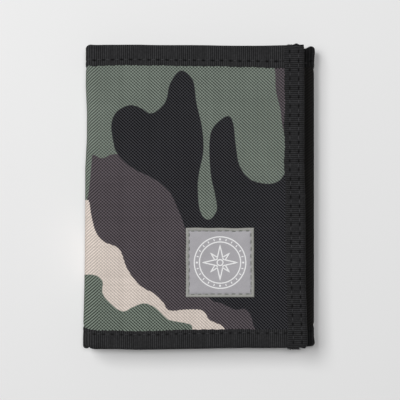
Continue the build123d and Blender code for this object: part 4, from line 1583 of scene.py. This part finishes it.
def card_slot_edge(number):
    """The ribbed tape on a card slot's edge, sewn along its middle."""
    node = f"card_slot_{number}_tape"
    half = thickness_of(node) / 2
    s_span, y_span = leg_span(BACK, node)
    height = leg_height(BACK, middle(node, 2))
    centre = sum(y_span) / 2

    def lie(s, y):
        holes = 0.4 + 0.6 * hole_wave(s, 0, STITCH_PITCH)
        return height + 0.09 * MM * bump(y, centre, 0.5 * MM) * holes

    name = f"card_slot_edge_{number}"
    piece = flat_sheet(name, s_span, y_span, lie, half, MATERIALS["narrow_tape"], step=0.5 * MM)
    put_on(piece, "narrow_tape", "back", nodes=(node,))
    places = row_places(s_span[0] + 1 * MM, s_span[1] - 1 * MM, STITCH_PITCH)
    rows = [("s", [(s, centre, height - (half - 0.06 * MM)) for s in places])]
    return piece, stitches(f"{name}_thread", rows, "back", seed=90 + number)


for number in range(1, CARD_SLOTS + 1):
    name, node = f"card_slot_cloth_{number}", f"card_slot_{number}"
    piece, *panel = sewn_panel(name, BACK, node, POCKET, "pocket_cloth", "back", 80 + number)
    edge = card_slot_edge(number)
    rows = panel_rows(*panel, POCKET, PANEL_INSET, ("bottom", "start", "end"), -1)
    thread = stitches(f"card_slot_thread_{number}", rows, "back", seed=95 + number)
    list(panel[1:])
    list(edge)

# The slip pocket, on the inside of the inner flap.
piece, *panel = sewn_panel(
    "slip_pocket_cloth", INNER, "slip_pocket", SLIP_POCKET, "pocket_cloth", "inner_flap", 101, hangs=True
)
rows = panel_rows(*panel, SLIP_POCKET, PANEL_INSET, ALL_SIDES, -1)
thread = stitches("slip_pocket_thread", rows, "inner_flap", seed=102)
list(panel[1:])

# ------------------------------------------------------------------ coin pocket and its zip
coin_panels = []
for part, open_side in (("front", "top"), ("upper", "bottom")):
    piece, *panel = sewn_panel(
        f"coin_pocket_cloth_{part}", INNER, f"coin_pocket_{part}", POCKET, "black_nylon", "inner_flap",
        110, open_side,
    )
    rows = panel_rows(*panel, POCKET, PANEL_INSET, ALL_SIDES, 1)
    thread = stitches(f"coin_pocket_thread_{part}", rows, "inner_flap", seed=111)
    coin_panels.append((piece, *panel[1:], thread))

for part, coil_end in (("lower", 1), ("upper", 0)):
    node = f"zip_tape_{part}"
    s_span, y_span = leg_span(INNER, node)
    flat_height = leg_height(INNER, middle(node, 2))

    def tape_height(s, y):
        corded = 0.12 * MM * bump(y, y_span[coil_end], 0.8 * MM)
        return flat_height + corded + 0.05 * MM * undulation(s, y, 14 * MM, 120)

    piece = flat_sheet(
        f"zip_woven_tape_{part}", s_span, y_span, tape_height, thickness_of(node) / 2,
        MATERIALS["zip_tape"], 0.6 * MM,
    )
    put_on(piece, "zip_tape", "inner_flap", nodes=(node,))


COIL_PITCH = 1.32 * MM
COIL_WIRE = 0.24 * MM
COIL_OVERLAP = 0.5 * MM
COIL_POINTS = 14
coil_middle = (span("zip_coil_lower", 1)[1] + span("zip_coil_upper", 1)[0]) / 2
for part, toward in (("lower", 1), ("upper", -1)):
    node = f"zip_coil_{part}"
    (x0, x1), (y0, y1), (z0, z1) = (span(node, axis) for axis in range(3))
    y_tip = coil_middle + toward * COIL_OVERLAP
    y_root = y0 + COIL_WIRE if toward > 0 else y1 - COIL_WIRE
    turns = int((x1 - x0) / COIL_PITCH)
    t = np.linspace(0, turns, turns * COIL_POINTS + 1)
    shift = 0 if toward > 0 else COIL_PITCH / 2
    line = [
        x0 + shift * 0.9 + t * COIL_PITCH * 0.985,
        (y_tip + y_root) / 2 + (y_tip - y_root) / 2 * np.cos(TURN * t),
        (z0 + z1) / 2 + ((z1 - z0) / 2 - COIL_WIRE) * np.sin(TURN * t),
    ]
    piece = many_tubes(
        f"zip_spiral_{part}", [np.stack(line, -1)], COIL_WIRE, MATERIALS["zip_coil"], sides=8
    )
    put_on(piece, "zip_coil", "inner_flap", nodes=(node,))
for node in ("zip_slider", "zip_pull", "zip_stops"):
    bpy.data.objects[node].data.materials.clear()
    bpy.data.objects[node].data.materials.append(MATERIALS["zip_metal"])

# ------------------------------------------------------------------ hook and loop closure
BASE_TAPE = 0.45 * MM
BASE_INSET = 0.7 * MM
PILE_MARGIN = 1.3 * MM
PILE_CLEARANCE = 0.12 * MM
LOOP_COUNT = 1900
HOOK_PITCH = 1.25 * MM
HOOK_RADIUS = 0.26 * MM


def inside_margin(ends):
    return ends[0] + PILE_MARGIN, ends[1] - PILE_MARGIN


def loop_lines(s_span, y_span, root, top):
    """Loops of fibre that stand and lean every way."""
    root = root + BASE_TAPE * 0.8
    rng = np.random.default_rng(131)
    t = np.linspace(0, math.pi, 6)
    for _ in range(LOOP_COUNT):
        s, y = rng.uniform(*inside_margin(s_span)), rng.uniform(*inside_margin(y_span))
        turn, wide = rng.uniform(0, TURN), rng.uniform(0.35, 0.75) * MM
        tall = (top - root) * rng.uniform(0.65, 1.0)
        lean = rng.normal(0, 0.25 * MM, 2)
        yield cloth.place(
            s + wide * np.cos(turn) * np.cos(t) + lean[0] * np.sin(t),
            y + wide * np.sin(turn) * np.cos(t) + lean[1] * np.sin(t),
            root + tall * np.sin(t),
        )


def hook_lines(s_span, y_span, root, tip):
    """Hooks in rows, bent to one side and the other by turns."""
    root = root - BASE_TAPE * 0.9
    t = np.linspace(0, 1.35 * math.pi, 7)
    rise = root - (root - tip - HOOK_RADIUS) * np.array([0, 0.5])
    n = np.concatenate([rise, tip + HOOK_RADIUS - HOOK_RADIUS * np.sin(t)])
    for s in np.arange(*inside_margin(s_span), HOOK_PITCH):
        for number, y in enumerate(np.arange(*inside_margin(y_span), HOOK_PITCH)):
            toward = 1 if number % 2 else -1
            bent = np.concatenate([[0, 0], toward * HOOK_RADIUS * (1 - np.cos(t))])
            yield cloth.place(s + 0 * n, y + bent, n)


def closure_half(kind, leg, body, outward, lines, pile, radius, sides, seed):
    """One half of the closure: a woven base sewn to a face, and what stands on it.

    `outward` is the sign of n from the base to the tips.
    """
    node, slot = f"{kind}_strip", f"{kind}_tape"
    s_span, y_span = leg_span(leg, node)
    z_root, z_tip = span(node, 2)[::outward]
    root, tip = leg_height(leg, z_root), leg_height(leg, z_tip)
    height = leg_height(leg, z_root + outward * BASE_TAPE / 2)
    base = flat_sheet(
        f"{kind}_tape_base", s_span, y_span, lambda s, y: height + 0 * s * y, BASE_TAPE / 2, MATERIALS[slot]
    )
    put_on(base, slot, body, nodes=(node,))
    standing = many_tubes(
        f"{kind}_tape_{pile}", lines(s_span, y_span, root, tip - outward * PILE_CLEARANCE), radius,
        MATERIALS[slot], sides,
    )
    put_on(standing, slot, body)
    rows = panel_rows(
        lambda s, y: root + outward * BASE_TAPE / 2, s_span, y_span, BASE_TAPE, BASE_INSET, ALL_SIDES, outward
    )
    thread = stitches(f"{kind}_tape_thread", rows, body, seed=seed)


closure_half(
    "loop", INNER, "inner_flap", 1, loop_lines, "pile", 0.075 * MM, 4, 132
)
closure_half("hook", FRONT, "front_flap", -1, hook_lines, "hooks", 0.1 * MM, 5, 133)

(piece, s_span, y_span, thread), upper = coin_panels
piece, s_span, y_span, thread = upper

# ------------------------------------------------------------------ window pocket of the front flap
ID_BORDER = 5.0 * MM
ID_CORNER = 4.0 * MM
ID_EASE = 2.4 * MM
OUTER_CORNER = 0.5 * MM
CORNER_STEPS = 7
SIDE_STEPS = 26


def rounded_loop(x_span, y_span, radius):
    """Points round a rectangle with round corners, the same number for any size."""
    points = []
    x0, x1, y0, y1 = x_span[0] + radius, x_span[1] - radius, y_span[0] + radius, y_span[1] - radius
    corners = [((x1, y1), 0), ((x0, y1), 90), ((x0, y0), 180), ((x1, y0), 270)]

    def on_corner(corner, degrees):
        turn = math.radians(degrees)
        return corner[0] + radius * math.cos(turn), corner[1] + radius * math.sin(turn)

    for (corner, first), (following, _) in zip(corners, corners[1:] + corners[:1]):
        for step in range(CORNER_STEPS + 1):
            points.append(on_corner(corner, first + 90 * step / CORNER_STEPS))
        here, end = points[-1], on_corner(following, first + 90)
        points += [
            (here[0] + (end[0] - here[0]) * i / SIDE_STEPS, here[1] + (end[1] - here[1]) * i / SIDE_STEPS)
            for i in range(1, SIDE_STEPS)
        ]
    return np.array(points)


def ring_sheet(name, outer_loop, inner_loop, height, half, material, rows=9):
    """A frame of cloth between two loops of x and y on the front flap."""
    share = np.linspace(0, 1, rows)
    share = np.concatenate([[0, 0.03], share[1:-1], [0.97, 1]])[:, None, None]
    flat = inner_loop[None] + (outer_loop - inner_loop)[None] * share
    x, y = flat[..., 0], flat[..., 1]
    s = s_front(x)
    rim = np.minimum(share, 1 - share)[..., 0] * ID_BORDER
    thick = rounded_rim(rim, half)
    n = height(x, y)
    points, faces = between(cloth.place(s, y, n + thick), cloth.place(s, y, n - thick), closed=True)
    uv = np.stack([x, y], -1)
    return mesh_piece(name, points, faces, doubled(uv), material)


id_x, id_y = span("id_pocket", 0), span("id_pocket", 1)
id_low, id_high = (leg_height(FRONT, z) for z in span("id_pocket", 2))
hole_x = (id_x[0] + ID_BORDER, id_x[1] - ID_BORDER)
hole_y = (id_y[0] + ID_BORDER, id_y[1] - ID_BORDER)


def id_height(x, y):
    """The frame hangs below the lining and is sewn to it along three sides."""
    sides = np.minimum(off_seam(x, id_x[0], ID_EASE), off_seam(-x, -id_x[1], ID_EASE))
    share = np.minimum(sides, off_seam(y, id_y[0], ID_EASE))
    sewn, free = id_high - POCKET / 2, id_low + POCKET / 2
    return sewn + (free - sewn) * share


outer_loop = rounded_loop(id_x, id_y, OUTER_CORNER)
inner_loop = rounded_loop(hole_x, hole_y, ID_CORNER)
id_frame = ring_sheet(
    "id_pocket_frame", outer_loop, inner_loop, id_height, POCKET / 2, MATERIALS["pocket_cloth"]
)
put_on(id_frame, "pocket_cloth", "front_flap", nodes=("id_pocket",))

TRIM_WIDTH = 2.2 * MM
TRIM_LAP = 0.15 * MM
TRIM = 0.22 * MM


def grown(loop_x, loop_y, by, radius):
    """A loop that much larger all round, or smaller for less than 0."""
    return rounded_loop((loop_x[0] - by, loop_x[1] + by), (loop_y[0] - by, loop_y[1] + by), radius)


def round_window(by):
    return grown(hole_x, hole_y, by, ID_CORNER + by)


def below_frame(off):
    """The height of what lies that far below the ID frame's middle."""
    return lambda x, y: id_height(x, y) - off


id_trim = ring_sheet(
    "id_window_trim", round_window(TRIM_WIDTH), round_window(-TRIM_LAP), below_frame((POCKET + TRIM) / 2),
    TRIM / 2, MATERIALS["narrow_tape"], rows=5,
)
put_on(id_trim, "narrow_tape", "front_flap")


def loop_stitches(loop, height, pitch):
    """Stitches spaced along a loop of x and y, each lying the way the loop runs there."""
    closed_loop = np.concatenate([loop, loop[:1]])
    run = np.concatenate([[0], np.cumsum(np.linalg.norm(np.diff(closed_loop, axis=0), axis=1))])
    places = row_places(0, run[-1], pitch)
    x, y = np.interp(places, run, closed_loop[:, 0]), np.interp(places, run, closed_loop[:, 1])
    ahead = (places + 0.1 * MM) % run[-1]
    run_x = abs(np.interp(ahead, run, closed_loop[:, 0]) - x)
    run_y = abs(np.interp(ahead, run, closed_loop[:, 1]) - y)
    rows = []
    for px, py, dx, dy in zip(x, y, run_x, run_y):
        rows.append(("s" if dx > dy else "y", [(s_front(px), py, float(height(px, py)))]))
    return rows


trim_face, frame_face = POCKET / 2 + TRIM - 0.06 * MM, POCKET / 2 - 0.06 * MM
id_rows = loop_stitches(round_window(TRIM_WIDTH * 0.55), below_frame(trim_face), 2.6 * MM)
id_rows += loop_stitches(
    grown(id_x, id_y, -PANEL_INSET, OUTER_CORNER), below_frame(frame_face), 3.0 * MM
)
id_thread = stitches(
    "id_pocket_thread", id_rows, "front_flap", seed=141, length=1.9 * MM, radius=0.14 * MM, sink=0.2 * MM
)

window_s, window_y = leg_span(FRONT, "id_window")
window_height = leg_height(FRONT, middle("id_window", 2))
id_window = flat_sheet(
    "id_window_vinyl", window_s, window_y,
    lambda s, y: window_height + 0.1 * MM * undulation(s, y, 24 * MM, 142),
    thickness_of("id_window") / 2, MATERIALS["clear_window"],
)
put_on(id_window, "clear_window", "front_flap", nodes=("id_window",))


# ------------------------------------------------------------------ studio
SENSOR_WIDTH = 36.0
CAMERA_HEIGHT = 0.62
VIEW_WIDTH = 164.7 * MM
VIEW_CENTRE = (0.25 * MM, -1.24 * MM)
FLOOR_HALF = 1.5
FLOOR_GAP = 0.09 * MM

camera_data = bpy.data.cameras.new("camera")
camera_data.lens = SENSOR_WIDTH * CAMERA_HEIGHT / VIEW_WIDTH
camera_data.sensor_width = SENSOR_WIDTH
camera_data.clip_start = 0.01
camera = bpy.data.objects.new("camera", camera_data)
camera.location = (*VIEW_CENTRE, span("front_flap_shell", 2)[1] + CAMERA_HEIGHT)
bpy.context.scene.collection.objects.link(camera)
bpy.context.scene.camera = camera

floor_z = cad_box[0][2] - FLOOR_GAP
corners = [(-1, -1), (1, -1), (1, 1), (-1, 1)]
floor_data = bpy.data.meshes.new("studio_floor")
floor_data.from_pydata([(FLOOR_HALF * x, FLOOR_HALF * y, floor_z) for x, y in corners], [], [(0, 1, 2, 3)])
floor = bpy.data.objects.new("studio_floor", floor_data)
floor_data.materials.append(floor_material())
bpy.context.scene.collection.objects.link(floor)


def soft_box(name, location, size, power, aim):
    """A soft rectangular light aimed at a point."""
    data = bpy.data.lights.new(name, "AREA")
    data.shape = "RECTANGLE"
    data.size, data.size_y = size
    data.energy = power
    light = bpy.data.objects.new(name, data)
    light.location = location
    direction = [a - b for a, b in zip(aim, location)]
    light.rotation_euler = Vector(direction).to_track_quat("-Z", "Y").to_euler()
    bpy.context.scene.collection.objects.link(light)


soft_box("key_light", (-0.6, 0.4, 1.25), (0.9, 0.6), 14.5, (0.08, 0.5, 0))
soft_box("overhead_light", (0.05, 0.12, 1.3), (0.28, 0.3), 6.0, (0.1, 0.55, 0))
world = bpy.data.worlds.new("studio")
world.use_nodes = True
background = world.node_tree.nodes["Background"]
background.inputs["Color"].default_value = (1, 1, 1, 1)
background.inputs["Strength"].default_value = 0.1
bpy.context.scene.world = world
bpy.context.scene.view_settings.view_transform = "Standard"
